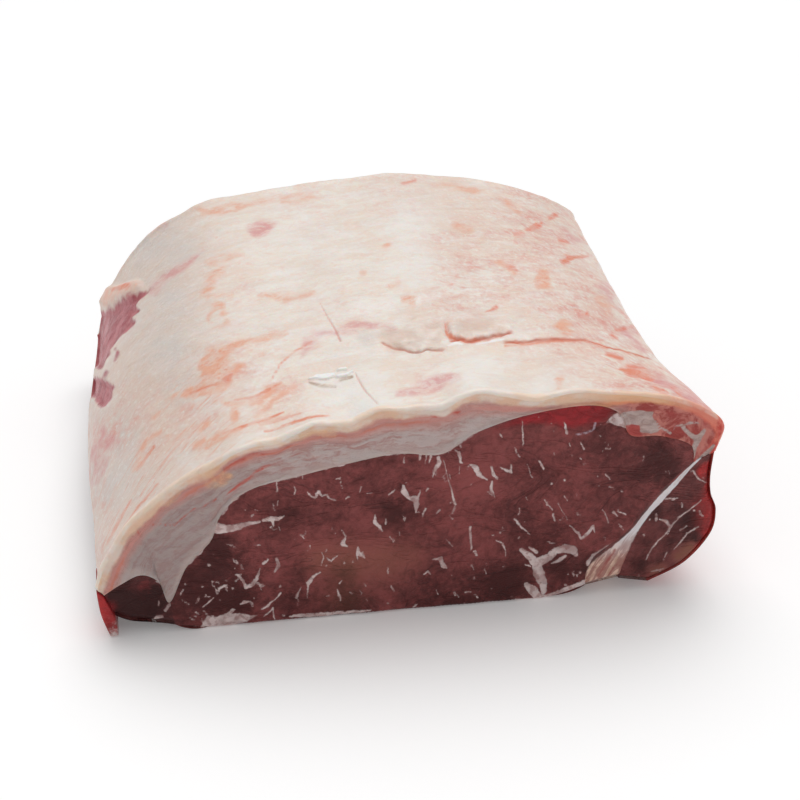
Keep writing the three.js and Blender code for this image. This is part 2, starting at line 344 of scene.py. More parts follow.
EYE_FLECKS_AND_GLINTS = [
    [(277, 483, 0.6), (277, 492, 0.7)], [(294, 487, 0.5), (296, 491, 0.8), (294, 495, 0.5)],
    [(303, 476, 0.9), (303, 480, 0.5)],
    [(308, 493, 0.6), (312, 498, 1.2), (315, 499, 1.1), (318, 493, 1.7), (322, 498, 0.6), (327, 496, 1.0),
     (331, 500, 0.8), (336, 501, 0.8)], [(335, 480, 0.6), (341, 479, 0.9), (342, 486, 0.8), (343, 490, 0.6)],
    [(346, 499, 0.6), (350, 497, 0.9)], [(360, 493, 0.6), (361, 488, 0.9)],
    [(367, 494, 0.4), (372, 494, 0.4)], [(279, 502, 0.5), (278, 507, 0.5)],
    [(279, 527, 0.4), (281, 531, 0.4)], [(227, 510, 0.6)], [(246, 511, 0.5)], [(209, 566, 1.3)],
    [(235, 568, 0.6)],
    [(238, 575, 1.0), (243, 581, 1.6), (246, 588, 2.0), (252, 585, 2.0), (257, 578, 1.7), (260, 569, 0.8)],
    [(263, 564, 1.4), (268, 560, 1.0)], [(277, 560, 1.6), (279, 566, 2.3), (275, 572, 1.2)],
    [(219, 592, 0.5), (219, 589, 1.4), (224, 587, 1.2), (227, 586, 0.5)],
    [(203, 608, 0.4), (209, 603, 1.0), (214, 599, 0.5)], [(240, 605, 0.6), (244, 603, 1.7), (249, 602, 0.6)],
    [(261, 610, 0.7), (267, 607, 1.5), (273, 601, 0.6), (281, 594, 1.1)],
    [(264, 618, 0.5), (273, 609, 0.9), (275, 621, 0.7)], [(296, 599, 0.9), (298, 594, 0.5)],
    [(301, 536, 1.1), (304, 539, 0.4)], [(342, 530, 0.5), (346, 537, 1.0), (343, 545, 2.3), (348, 547, 0.8)],
    [(375, 516, 0.6), (375, 523, 2.0), (380, 527, 1.9), (381, 530, 0.8)], [(386, 519, 0.5), (386, 524, 0.5)],
    [(358, 548, 0.8), (359, 554, 1.9), (365, 558, 0.7)], [(358, 554, 1.2), (358, 560, 0.4)],
    [(322, 553, 0.4), (324, 559, 0.8), (322, 566, 0.5)], [(327, 559, 0.5), (331, 563, 1.0), (337, 557, 0.5)],
    [(391, 537, 0.8), (393, 540, 0.5)], [(400, 532, 0.5), (400, 536, 0.5)],
    [(320, 574, 0.7), (313, 579, 1.8), (309, 583, 2.4), (309, 588, 0.9), (307, 600, 0.4)],
    [(301, 588, 0.4), (297, 599, 1.2)], [(340, 585, 0.6), (342, 582, 0.5)],
    [(337, 591, 0.6), (339, 596, 1.4), (341, 602, 0.5)], [(364, 584, 0.4), (366, 587, 0.5)],
    [(404, 458, 0.6), (404, 463, 1.1)], [(421, 453, 2.4), (420, 460, 0.8)],
    [(427, 456, 0.8), (425, 464, 0.4)], [(432, 456, 1.4), (430, 463, 0.5)],
    [(439, 458, 1.6), (440, 462, 2.2), (436, 469, 1.4), (433, 478, 0.5)], [(428, 489, 0.9), (427, 492, 0.6)],
    [(389, 496, 0.6), (393, 493, 1.0), (395, 491, 0.5)],
    [(404, 487, 1.4), (404, 493, 3.2), (408, 498, 1.8), (416, 500, 3.4), (416, 507, 2.6), (417, 513, 0.6)],
    [(418, 499, 1.4), (421, 493, 0.7), (421, 491, 0.4)], [(423, 517, 0.6), (426, 510, 0.9)],
    [(437, 514, 0.9), (440, 511, 1.2)], [(450, 517, 0.5), (453, 520, 0.8)],
    [(444, 461, 0.4), (449, 480, 0.6), (452, 492, 0.9), (456, 505, 1.4)], [(450, 475, 0.4), (451, 479, 0.4)],
    [(449, 453, 0.6)], [(456, 451, 1.0), (459, 453, 1.5), (461, 463, 1.3), (463, 464, 0.5)],
    [(460, 445, 0.9), (461, 448, 0.5)], [(460, 467, 0.4), (459, 474, 0.4)],
    [(470, 465, 0.8), (476, 468, 2.4), (479, 474, 2.6), (487, 480, 0.6)],
    [(492, 467, 0.8), (494, 475, 1.8), (497, 479, 1.3)], [(492, 482, 0.9), (492, 490, 1.2), (495, 497, 0.6)],
    [(488, 492, 0.5), (492, 492, 0.7)], [(500, 468, 0.6), (507, 471, 1.4), (511, 473, 1.2)],
    [(511, 465, 0.8), (511, 472, 0.9)], [(471, 485, 1.0)], [(500, 435, 0.7), (502, 438, 0.9)],
    [(522, 421, 0.3), (524, 438, 0.9), (523, 447, 0.4)], [(515, 448, 0.7), (520, 457, 0.9)],
    [(540, 462, 1.0), (544, 470, 1.1)], [(528, 465, 0.4), (533, 478, 0.7)], [(552, 485, 1.3)],
    [(565, 481, 1.1)], [(539, 418, 0.6)], [(552, 424, 0.8)], [(554, 432, 0.7)],
    [(565, 424, 0.7), (566, 429, 1.3), (568, 434, 1.2)], [(570, 444, 0.5), (571, 447, 0.5)],
    [(581, 443, 0.6), (584, 450, 0.9)], [(606, 449, 0.6), (611, 449, 0.6)],
    [(607, 475, 0.7), (611, 480, 0.9)], [(598, 477, 0.6)], [(599, 487, 0.6)], [(623, 492, 1.2)],
    [(545, 501, 0.4), (552, 511, 0.6)], [(554, 515, 1.0), (555, 521, 0.8)],
    [(558, 504, 0.3), (568, 520, 0.3)], [(515, 519, 1.0), (522, 528, 1.0), (530, 535, 0.6)],
    [(570, 526, 0.8), (578, 533, 1.4), (581, 539, 1.0), (588, 533, 2.0), (594, 527, 1.7), (595, 533, 0.6)],
    # The second stroke on this line is a painted glint, not a fleck
    [(603, 510, 0.5), (609, 523, 0.8)], [(614, 513, 1.6), (618, 517, 0.7)],
    [(620, 513, 0.6), (626, 515, 1.0)], [(471, 528, 1.4), (470, 540, 1.2), (472, 550, 0.6)],
    [(500, 533, 0.9)], [(496, 541, 0.6), (502, 543, 0.8), (505, 551, 0.8), (505, 557, 0.5)],
    [(446, 540, 0.4), (453, 546, 0.7)], [(433, 560, 0.6), (441, 559, 2.2), (444, 567, 2.2), (446, 569, 0.8)],
    # The first stroke on this line is a painted glint, not a fleck
    [(424, 575, 0.7), (428, 572, 1.1), (431, 575, 0.5)], [(473, 566, 0.7), (474, 571, 0.6)],
    [(485, 569, 0.5), (486, 576, 0.5)], [(465, 594, 0.6), (470, 593, 0.6)],
    [(437, 591, 0.4), (438, 595, 0.4)], [(464, 604, 0.6), (467, 607, 0.5)],
    [(413, 608, 0.6), (417, 605, 0.6)],
    [(522, 551, 2.4), (529, 556, 4.0), (536, 564, 5.0), (539, 574, 5.2), (543, 584, 4.4), (544, 592, 2.6)],
    [(538, 563, 4.4), (549, 558, 3.4), (556, 551, 3.4), (565, 549, 4.4), (573, 550, 4.2), (577, 555, 2.0)],
    [(525, 566, 0.7), (530, 567, 0.9)], [(527, 585, 2.6), (533, 591, 5.2), (538, 598, 5.0), (548, 598, 2.4)],
    [(580, 573, 1.2)], [(530, 548, 0.8), (537, 553, 1.6)],
    [(551, 564, 0.6), (560, 560, 1.8), (566, 556, 1.2)],
]
EYE_MEMBRANES = [
    [(290, 618, 1.2), (310, 617, 2.2), (328, 615, 2.0), (346, 614, 1.6), (370, 611, 0.8)],
    [(516, 600, 0.8), (530, 602, 2.0), (548, 597, 2.4), (573, 587, 2.6), (592, 579, 2.0), (599, 576, 0.8)],
    [(588, 564, 2.0), (595, 557, 3.4), (608, 549, 3.0), (619, 544, 1.2)],
]
SIDE_FLECKS = [
    [(702, 501, 0.5), (692, 509, 0.8), (678, 519, 0.9), (670, 530, 0.9), (659, 541, 0.9), (650, 553, 0.8),
     (646, 561, 0.5)], [(699, 527, 0.5), (688, 534, 0.8), (681, 543, 0.8), (674, 550, 0.6)],
    [(660, 520, 0.7), (667, 522, 1.5), (670, 527, 1.4), (670, 532, 0.8)], [(681, 531, 0.8), (687, 527, 0.5)],
    [(664, 500, 0.8), (678, 499, 0.6)], [(667, 553, 0.8), (665, 558, 0.5)],
    [(694, 472, 1.1), (699, 480, 0.9), (708, 484, 0.6)], [(652, 572, 0.6), (657, 571, 0.9), (664, 569, 0.5)],
]
CORNER_STRANDS = [
    [(656, 422, 0.7), (661, 428, 1.0), (671, 434, 1.2)], [(674, 430, 0.5), (676, 427, 0.8), (682, 426, 0.8)],
    [(683, 428, 1.6), (689, 434, 2.0), (694, 438, 2.4)],
    [(706, 430, 1.2), (699, 438, 3.0), (694, 450, 2.8), (690, 464, 2.0)],
    [(714, 446, 1.4), (706, 455, 2.4), (699, 463, 3.0)], [(682, 428, 0.6), (690, 424, 1.2), (700, 424, 0.8)],
]
TAIL_FLECKS = [
    [(156, 582, 0.5), (164, 586, 0.8), (166, 589, 0.8), (164, 594, 0.5)], [(159, 602, 0.5), (158, 607, 0.6)],
    [(166, 611, 1.6), (169, 606, 1.8), (171, 603, 0.8)], [(153, 625, 1.4), (157, 619, 2.6), (162, 618, 1.6)],
]
WHITE_WEDGE = [
    [(212, 527, 6.5), (222, 530, 5.0), (232, 529, 3.6), (246, 525, 2.2), (260, 522, 1.0)],
    [(263, 521, 1.4), (271, 519, 2.6), (279, 519, 2.0), (285, 516, 0.6)], [(272, 521, 2.0), (273, 527, 0.6)],
]
# Tones of the lean on the cut face: pixel, radius in pixels and strength
LIGHT_TONES = [
    (330, 556, 18, 0.5), (370, 560, 22, 0.5), (405, 560, 20, 0.3), (465, 490, 30, 0.35), (505, 430, 26, 0.32),
    (545, 440, 24, 0.25), (500, 480, 30, 0.25), (560, 500, 30, 0.2), (600, 490, 24, 0.1), (520, 535, 20, 0.2),
    (250, 548, 22, 0.25), (430, 475, 26, 0.25), (480, 455, 24, 0.3), (590, 545, 14, 0.25),
    (356, 500, 20, 0.2),
]
# Darker patches of the lean. Those along its lower edge, from 580 to 606 down, are painted shade.
DARK_AND_SHADE_TONES = [
    (345, 573, 14, 0.45), (300, 570, 14, 0.45), (420, 600, 30, 0.50), (460, 606, 26, 0.42),
    (215, 548, 18, 0.4), (190, 590, 24, 0.6), (230, 600, 22, 0.45), (510, 580, 16, 0.6), (495, 590, 20, 0.4),
    (285, 510, 18, 0.3), (395, 512, 18, 0.45), (400, 545, 16, 0.3), (290, 605, 20, 0.4), (350, 606, 20, 0.35),
    (625, 470, 26, 0.30), (655, 450, 24, 0.55), (600, 440, 18, 0.3), (640, 510, 20, 0.35),
    (430, 545, 16, 0.35), (590, 560, 14, 0.3), (612, 505, 18, 0.20), (668, 470, 18, 0.5), (560, 565, 14, 0.4),
]
RED_FILM = [(576, 416, 14, 0.4), (600, 414, 10, 0.4), (566, 431, 10, 0.25)]
SIDE_RED = [
    (712, 500, 8, 1.0), (714, 516, 9, 1.1), (709, 536, 8, 0.9), (700, 550, 7, 0.7), (703, 474, 6, 1.3),
    (709, 468, 6, 1.2), (711, 488, 7, 1.0), (716, 508, 7, 1.0), (688, 562, 6, 0.5), (667, 574, 6, 0.6),
    (698, 505, 12, 0.4), (700, 525, 12, 0.35),
]
# Red film along the tail's left edge, and from 140 to 148 across a painted highlight on its middle
TAIL_RED_AND_HIGHLIGHT = [
    (97, 592, 5, 1.1), (101, 602, 6, 0.9), (107, 612, 6, 0.8), (112, 606, 8, 0.35), (118, 622, 9, 0.3),
    (148, 583, 7, 0.22), (140, 590, 12, 0.3),
]
TAIL_DARK = [(124, 606, 13, 0.9), (140, 612, 16, 0.7), (150, 600, 10, 0.5), (157, 592, 7, 0.6)]
SIDE_DARK = [
    (655, 512, 9, 0.8), (646, 545, 8, 0.5), (642, 566, 9, 0.8), (668, 545, 7, 0.5), (690, 520, 8, 0.6),
    (676, 507, 8, 0.4), (700, 560, 8, 0.4), (660, 565, 8, 0.5),
]
FILM_EDGE = [
    [(484, 436), (500, 429), (530, 425), (560, 425), (590, 428), (600, 424), (608, 420), (618, 410),
     (600, 402), (575, 404), (545, 410), (515, 419)],
]
WET_SHEEN = [
    [(575, 436, 0.5), (585, 434, 0.8), (594, 431, 0.8), (596, 424, 1.0)], [(664, 435, 0.8), (670, 435, 1.0)],
]

# Soft zones of the outer skin: pixel, radius in pixels and strength
FLUSH_ZONES = [
    (640, 375, 45, 0.9), (690, 408, 35, 1.2), (668, 390, 24, 0.9), (98, 440, 14, 0.8), (96, 500, 14, 0.7),
    (104, 580, 16, 0.8), (605, 300, 42, 0.7), (560, 235, 38, 0.8), (520, 212, 36, 0.6), (500, 275, 45, 0.5),
    (560, 325, 40, 0.6), (625, 342, 28, 0.6), (450, 250, 40, 0.4), (450, 305, 32, 0.45), (400, 190, 45, 0.4),
    (300, 200, 36, 0.3), (232, 290, 26, 0.4), (330, 300, 40, 0.25), (285, 395, 36, 0.45), (235, 365, 30, 0.5),
    (430, 388, 26, 0.4), (150, 430, 36, 0.45), (105, 560, 30, 0.7), (200, 420, 30, 0.4), (110, 430, 18, 0.6),
    (130, 400, 24, 0.3),
]
PALE_ZONES = [
    (410, 218, 26, 0.9), (410, 268, 26, 0.8), (470, 392, 36, 0.9), (350, 400, 34, 1.0), (240, 325, 26, 0.4),
    (300, 235, 40, 0.5), (190, 460, 16, 0.6), (410, 348, 14, 0.6), (540, 388, 20, 0.6), (330, 320, 30, 0.4),
    (200, 400, 10, 0.5), (510, 325, 12, 0.5),
]
# Warmer zones of the skin. The three small ones behind the tear, from 462 to 498 across, are painted shade on
# the slope down into it.
WARM_AND_SHADE_ZONES = [
    (525, 232, 34, 0.8), (468, 236, 26, 0.8), (560, 332, 28, 0.6), (602, 312, 26, 0.6), (420, 190, 30, 0.5),
    (160, 435, 30, 0.8), (135, 375, 26, 0.5), (530, 372, 26, 0.4), (630, 388, 34, 0.6), (450, 195, 50, 0.5),
    (140, 275, 16, 0.5), (560, 215, 30, 0.5), (120, 520, 30, 0.5), (580, 280, 40, 0.4), (462, 331, 9, 1.6),
    (480, 331, 9, 1.2), (498, 330, 7, 0.8), (250, 205, 30, 0.3), (175, 415, 20, 0.4),
]
# Greyer zones of the skin: grey fat, and painted shade on the left shoulder, beside the lump and in the tear's
# hollow
GREY_AND_SHADE_ZONES = [
    (168, 350, 22, 0.9), (170, 300, 22, 0.7), (150, 240, 28, 0.8), (186, 250, 18, 0.5), (118, 480, 26, 0.7),
    (120, 440, 22, 0.8), (556, 390, 18, 0.35), (367, 336, 9, 1.2), (135, 330, 18, 0.3), (180, 390, 18, 0.5),
    (104, 500, 16, 0.5), (458, 330, 6, 0.8),
]
STREAK_ZONES = [
    (150, 480, 50, 0.9), (115, 545, 36, 1.0), (225, 425, 40, 0.8), (650, 382, 40, 1.2), (300, 418, 36, 0.6),
    (200, 395, 36, 0.6), (600, 345, 30, 0.7), (690, 405, 30, 1.2), (570, 260, 40, 0.4),
]

# What the photograph shows on the outer skin of the fat
ORANGE_STAINS = [
    [(203, 211, 1), (222, 211, 2.4), (239, 207, 3), (254, 204, 2), (271, 201, 1)],
    [(279, 201, 1), (290, 199, 1.4), (301, 198, 1.4), (319, 193, 0.5)],
    [(209, 264, 2.4), (222, 259, 3), (240, 258, 1)],
    [(203, 293, 1.5), (212, 284, 3), (220, 274, 2.4), (225, 268, 1)], [(209, 296, 2), (228, 296, 1)],
    [(211, 316, 1.5), (212, 308, 2), (220, 305, 2), (226, 313, 1)], [(209, 326, 0.5), (228, 322, 1)],
    [(260, 294, 1), (271, 296, 2.4), (283, 297, 2.4), (312, 291, 0.5)],
    [(188, 389, 2), (203, 385, 5), (208, 371, 8), (212, 359, 8), (228, 349, 5), (243, 345, 4), (258, 343, 3),
     (277, 337, 3), (289, 334, 2)], [(218, 378, 8), (222, 364, 8)],
    [(188, 394, 2), (205, 391, 3), (219, 388, 3), (225, 378, 4), (237, 366, 3)],
    [(225, 404, 2), (243, 403, 3), (258, 398, 4), (268, 391, 3), (280, 388, 2)],
    [(258, 412, 2), (271, 403, 3), (289, 392, 2)], [(234, 420, 3), (237, 412, 3), (240, 408, 2)],
    [(171, 400, 2), (174, 397, 2)], [(151, 414, 2), (156, 411, 2)], [(191, 408, 2)], [(389, 248, 3)],
    [(392, 286, 3)], [(409, 300, 6)], [(543, 279, 9)], [(567, 327, 7)], [(364, 274, 3)], [(558, 383, 5)],
    [(139, 454, 3), (149, 442, 3), (164, 434, 1)], [(196, 430, 3), (205, 421, 3)],
    [(195, 448, 2), (204, 440, 2)], [(430, 186, 0.5), (455, 188, 2), (480, 192, 1)],
    [(506, 203, 2), (520, 209, 1)], [(455, 228, 3), (470, 232, 4)], [(498, 262, 2), (512, 272, 2)],
    [(600, 300, 3), (606, 308, 3)], [(131, 468, 2), (137, 462, 2)],
    [(209, 446, 2), (223, 436, 3), (243, 429, 2)],
]
PINK_STAINS = [
    [(258, 231, 6), (264, 229, 6), (277, 226, 2)],
    [(394, 395, 2), (409, 392, 3), (421, 387, 4), (440, 380, 3), (459, 377, 2)],
    [(151, 287, 3), (166, 276, 2.5), (182, 262, 1.5), (198, 251, 0.5)],
    [(300, 353, 1), (321, 336, 2), (342, 332, 2), (359, 324, 2), (379, 324, 2), (390, 326, 1)],
    [(600, 288, 2), (610, 297, 2)], [(660, 376, 5), (684, 392, 7), (706, 408, 6)],
    [(152, 231, 1.5), (162, 225, 0.5)], [(566, 230, 1.5), (577, 240, 1.5)], [(628, 332, 5), (640, 346, 4)],
    [(104, 430, 4), (112, 440, 3)], [(100, 446, 3), (96, 480, 4)],
]
SPOTS = [
    [(529, 228, 2), (538, 222, 2)], [(550, 215, 2), (556, 211, 2)],
    [(563, 262, 2.4), (574, 258, 2.4), (588, 254, 0.5)], [(515, 237, 1), (521, 235, 1)], [(514, 244, 0.6)],
    [(509, 269, 1), (515, 267, 1)], [(450, 288, 1), (455, 286, 1)], [(486, 313, 1), (495, 310, 2)],
    [(490, 264, 1)], [(583, 313, 1), (590, 311, 2)], [(618, 330, 0.8), (631, 328, 1.4)],
    [(607, 353, 0.9), (616, 355, 1.6), (625, 358, 1.2)], [(623, 365, 0.9), (638, 369, 2.2), (653, 375, 1.2)],
    [(624, 371, 0.6), (640, 374, 1.2)], [(408, 181, 1.4), (414, 180, 1)], [(222, 379, 1.6), (228, 375, 2)],
    [(610, 336, 1), (616, 340, 0.8)], [(121, 291, 2), (131, 289, 2.4)], [(654, 388, 1.4), (668, 397, 1.4)],
    [(690, 404, 1.6), (704, 412, 2)], [(672, 384, 1), (684, 392, 1.2)], [(560, 240, 1), (570, 243, 1)],
]
THIN_LINES = [
    [(620, 366, 0.8), (630, 368, 2.0), (640, 371, 1.8), (650, 375, 0.8)],
    [(607, 353, 0.6), (615, 355, 1.3), (624, 358, 0.7)], [(655, 388, 0.6), (664, 394, 1.1), (674, 401, 0.6)],
    [(563, 262, 1.2), (574, 258, 1.4), (583, 256, 0.6)], [(530, 228, 0.8), (537, 222, 1.0)],
    [(676, 392, 0.5), (688, 402, 1.0), (700, 413, 0.6)],
    [(505, 345, 0.4), (530, 343, 1.0), (556, 340, 0.9), (584, 340, 0.5), (607, 348, 0.4)],
    [(445, 322, 0.4), (447, 332, 1.4), (452, 338, 1.8), (466, 340, 0.9), (480, 340, 0.5)],
    [(272, 381, 0.3), (281, 365, 0.7), (295, 352, 0.7), (312, 342, 0.3)],
    [(258, 424, 0.6), (280, 418, 1.3), (303, 414, 0.6)],
    [(264, 430, 0.6), (292, 423, 1.2), (312, 419, 1.3), (329, 416, 0.6)],
    [(115, 292, 1.2), (123, 289, 2.4), (132, 287, 1.4)],
    [(222, 434, 0.6), (240, 427, 1.1), (262, 419, 1.2), (284, 411, 0.6)],
    [(136, 470, 0.6), (146, 455, 1.2), (154, 446, 0.8)], [(107, 545, 0.5), (118, 525, 1.0), (132, 500, 0.6)],
    [(120, 540, 0.4), (140, 505, 0.8), (158, 483, 0.4)], [(190, 392, 1.2), (208, 386, 1.4), (222, 383, 0.8)],
    [(235, 400, 0.6), (256, 397, 1.1), (270, 389, 1.2), (282, 383, 0.6)],
]
BARE_LEAN = [
    [(106, 311), (119, 300), (131, 295), (141, 291), (151, 288), (144, 295), (138, 299), (134, 304),
     (140, 310), (134, 314), (130, 317), (136, 321), (134, 325), (127, 331), (121, 335), (115, 343),
     (109, 350), (111, 354), (106, 360), (103, 368), (99, 370), (91, 366), (84, 350), (88, 330), (96, 312)],
    [(86, 378), (97, 377), (106, 381), (116, 387), (113, 392), (112, 399), (106, 406), (101, 408), (94, 398),
     (86, 396)],
]
LEAN_ISLANDS = [[(117, 350, 1.4), (119, 354, 1.8), (116, 362, 1.4)], [(108, 372, 1.4), (106, 376, 1.2)]]
LEAN_TRAIL = [
    [(150, 289, 4), (160, 281, 3.5), (175, 271, 2), (188, 259, 1.5), (202, 249, 0)],
    [(104, 430, 4), (108, 446, 4)],
]
CREAM_ROLL = [[(107, 303, 3), (114, 294, 5), (128, 290, 5), (136, 285, 3)]]
CORNER_WHITE = [
    [(608, 421), (613, 416), (623, 413), (640, 411), (654, 413), (653, 417), (656, 424), (660, 431),
     (657, 433), (650, 434), (641, 433), (640, 426), (632, 425), (622, 426), (614, 427), (620, 432),
     (625, 438), (623, 439), (617, 432), (611, 425)],
]
CORNER_FLESH = [[(617, 427), (625, 426), (636, 425), (640, 430), (640, 438), (634, 441), (626, 439)]]
CORNER_TIP = [[(607, 423), (612, 417), (619, 413), (632, 411), (640, 424), (632, 430), (619, 427)]]
LEFT_MEMBRANE = [
    [(207, 616), (215, 618), (226, 614), (233, 609), (236, 610), (232, 615), (240, 614), (252, 616),
     (258, 616), (248, 622), (240, 625), (232, 629), (215, 630), (199, 630), (203, 622)],
]
# Lighter patches low on the side muscle: a pale membrane, and below it, from 655 to 663 across, a painted
# highlight
SIDE_MEMBRANE_AND_HIGHLIGHT = [
    (678, 558, 5, 1.2), (685, 553, 6, 1.4), (692, 548, 5, 1.3), (655, 572, 6, 1.0), (663, 569, 5, 0.9),
]
BROWN_SHADOWS = [[(310, 383, 1), (322, 386, 1.6), (335, 386, 1)], [(340, 380, 1), (352, 377, 1.2)]]
LUMP_EDGE = [(381, 343), (387, 345), (398, 347), (408, 349), (421, 350), (426, 347), (436, 348), (444, 346)]
TEAR_EDGE = [(450, 341), (457, 339), (468, 341), (480, 340), (488, 340), (499, 337), (512, 335)]
CRACK_EDGE = [
    (504, 343), (523, 342), (556, 339), (584, 339), (600, 344), (607, 347), (619, 349), (638, 354),
    (652, 358),
]
TEAR_HOLLOW = [[(446, 323, 0.2), (448, 332, 0.9), (451, 338, 1.6), (457, 338, 1.2)]]
SCORES = [
    [(320, 303, 0.0), (328, 318, 0.3), (335, 329, 0.5), (340, 340, 0.9)],
    [(355, 373, 0.2), (360, 383, 0.5), (366, 392, 0.4), (378, 406, 0.1)],
]
RUMPLED = [
    (392, 335, 14, 1.0), (412, 333, 16, 1.0), (432, 335, 14, 1.0), (472, 328, 14, 0.9), (498, 327, 14, 0.9),
]

# Each long mark: its line, the rise behind it in mm and how far behind in pixels, its depth in mm,
# its half width in pixels and how red it is
LONG_MARKS = (
    (CRACK_EDGE, 0.25, 12, 0.35, 0.8, 1.0),
    (TEAR_EDGE, 0.8, 24, 0.45, 1.0, 1.0),
    # The lump's tinted line is painted shadow along the foot of its front edge
    (LUMP_EDGE, 0.7, 26, 0.35, 0.7, 0.7),
)
WHITE_LIP = [
    [(448, 344, 0.6), (456, 342, 1.3), (463, 343, 0.6)], [(476, 343, 0.5), (494, 341, 1.0), (504, 340, 0.6)],
]
PALE_LINE = [[(278, 205, -0.1), (290, 227, 0.0), (295, 250, 0.0), (297, 264, -0.2)]]
SHREDS = [
    [(310, 380, 0.8), (318, 378, 2.2), (327, 377, 2.6), (334, 375, 1.6)], [(338, 371, 0.8), (346, 369, 1.6)],
    [(337, 377, 1.0), (347, 375, 1.6), (353, 372, 0.7)],
]


# How each piece is made: a box, divided and carried to its section


STEP_SAMPLES = 2001


def steps_along(share, fine):
    """Shares along the joint, moved closer together at the listed places (distance, width, weight)."""
    spots = np.linspace(0, 1, STEP_SAMPLES)
    density = 1 + sum(weight * bell(spots * LENGTH, place, width) for place, width, weight in fine)
    passed = np.concatenate([[0], np.cumsum((density[1:] + density[:-1]) / 2)])
    return np.interp(share, passed / passed[-1], spots)


def block(name, cells, carried, finer=()):
    """A closed solid: a cube in cells across, along and up, its vertices carried to the joint.
    Each rule in finer picks the vertices between which the edges are halved once more."""
    shape = bmesh.new()
    bmesh.ops.create_cube(shape, size=1)
    bmesh.ops.translate(shape, vec=(0.5, 0.5, 0.5), verts=shape.verts)
    for axis, count in enumerate(cells):
        whole = [edge for edge in shape.edges if abs(edge.verts[0].co[axis] - edge.verts[1].co[axis]) > 0.5]
        bmesh.ops.subdivide_edges(shape, edges=whole, cuts=count - 1, use_grid_fill=True)
    for rule in finer:
        spots = np.array([vert.co for vert in shape.verts])
        picked = rule(spots)
        shape.verts.index_update()
        edges = [edge for edge in shape.edges if picked[edge.verts[0].index] and picked[edge.verts[1].index]]
        bmesh.ops.subdivide_edges(shape, edges=edges, cuts=1, use_grid_fill=True)
    mesh = bpy.data.meshes.new(name)
    shape.to_mesh(mesh)
    shape.free()
    spots = np.empty(len(mesh.vertices) * 3)
    mesh.vertices.foreach_get("co", spots)
    spots = spots.reshape(-1, 3)
    mesh.vertices.foreach_set("co", carried(spots).ravel())
    mesh.shade_smooth()
    mesh.update()
    piece = bpy.data.objects.new(name, mesh)
    bpy.context.scene.collection.objects.link(piece)
    return piece, spots


def places(piece):
    """The piece's vertices as an array."""
    spots = np.empty(len(piece.data.vertices) * 3)
    piece.data.vertices.foreach_get("co", spots)
    return spots.reshape(-1, 3)


def normals(piece):
    """The piece's vertex normals as an array."""
    spots = np.empty(len(piece.data.vertices) * 3)
    piece.data.vertex_normals.foreach_get("vector", spots)
    return spots.reshape(-1, 3)


def push(piece, heights):
    """Moves each vertex along its normal, and keeps the piece on and above the table."""
    moved = places(piece) + normals(piece) * column(heights)
    moved[:, 2] = np.maximum(moved[:, 2], 0)
    piece.data.vertices.foreach_set("co", moved.ravel())
    piece.data.update()


def mark(piece, name, values):
    """Stores a value for each vertex, for the materials to read."""
    layer = piece.data.attributes.new(name, "FLOAT", "POINT")
    layer.data.foreach_set("value", np.asarray(values, dtype=np.float32))


def finished(piece, material, solid):
    """Gives the piece its material and its place in the frame."""
    piece.data.materials.append(material)
    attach(piece, "root")
    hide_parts(solid)


# Small helpers that add shader nodes


class Flow:
    """A socket of a shader tree. Arithmetic on it adds the nodes that do it, and gives back their flow."""

    def __init__(self, socket):
        self.socket = socket
        self.tree = socket.id_data

    def __add__(self, other):
        return reckoned("ADD", self, other)

    def __sub__(self, other):
        return reckoned("SUBTRACT", self, other)

    def __rsub__(self, other):
        return reckoned("SUBTRACT", other, self)

    def __mul__(self, other):
        return reckoned("MULTIPLY", self, other)

    def __abs__(self):
        return reckoned("ABSOLUTE", self, 0.0)

    def clamped(self):
        """The same result, held between 0 and 1."""
        self.socket.node.use_clamp = True
        return self

    def eased(self, low, high, start=0.0, end=1.0):
        """Goes softly from start, where this flow is low, to end, where it is high."""
        inputs = {"Value": self, "From Min": low, "From Max": high, "To Min": start, "To Max": end}
        return flow(self.tree, "ShaderNodeMapRange", inputs, interpolation_type="SMOOTHSTEP")

    def speckle(self, scale, detail=4.0, roughness=0.55, distortion=0.0):
        """Noise, where this flow is a place."""
        inputs = {"Vector": self, "Scale": scale, "Detail": detail}
        inputs.update({"Roughness": roughness, "Distortion": distortion})
        return flow(self.tree, "ShaderNodeTexNoise", inputs)


def node(tree, kind, inputs=None, **settings):
    """Adds a node with its settings, and links or sets its inputs."""
    made = tree.nodes.new(kind)
    for key, value in settings.items():
        setattr(made, key, value)
    for key, value in (inputs or {}).items():
        if isinstance(value, Flow):
            tree.links.new(value.socket, made.inputs[key])
        else:
            made.inputs[key].default_value = value
    return made


def flow(tree, kind, inputs=None, output=0, **settings):
    """Adds a node, and gives back one of its outputs."""
    return Flow(node(tree, kind, inputs, **settings).outputs[output])


def send(value, target):
    """Links a flow to an input."""
    value.tree.links.new(value.socket, target)


def reckoned(operation, first, second):
    """Adds a calculation with two values, of which at least one is a flow."""
    tree = (first if isinstance(first, Flow) else second).tree
    return flow(tree, "ShaderNodeMath", {0: first, 1: second}, operation=operation)


def reading(tree, name):
    """A value that was stored on the piece by mark."""
    return flow(tree, "ShaderNodeAttribute", output="Fac", attribute_name=name)


def stretched(tree, scale=(1, 1, 1)):
    """Object coordinates, stretched."""
    spot = flow(tree, "ShaderNodeTexCoord", output="Object")
    return flow(tree, "ShaderNodeMapping", {"Vector": spot, "Scale": scale})


def blended(share, low, high):
    """Mixes two colours, each a flow or red, green and blue."""
    low, high = (colour if isinstance(colour, Flow) else (*colour, 1.0) for colour in (low, high))
    return flow(share.tree, "ShaderNodeMix", {0: share, 6: low, 7: high}, output=2, data_type="RGBA")


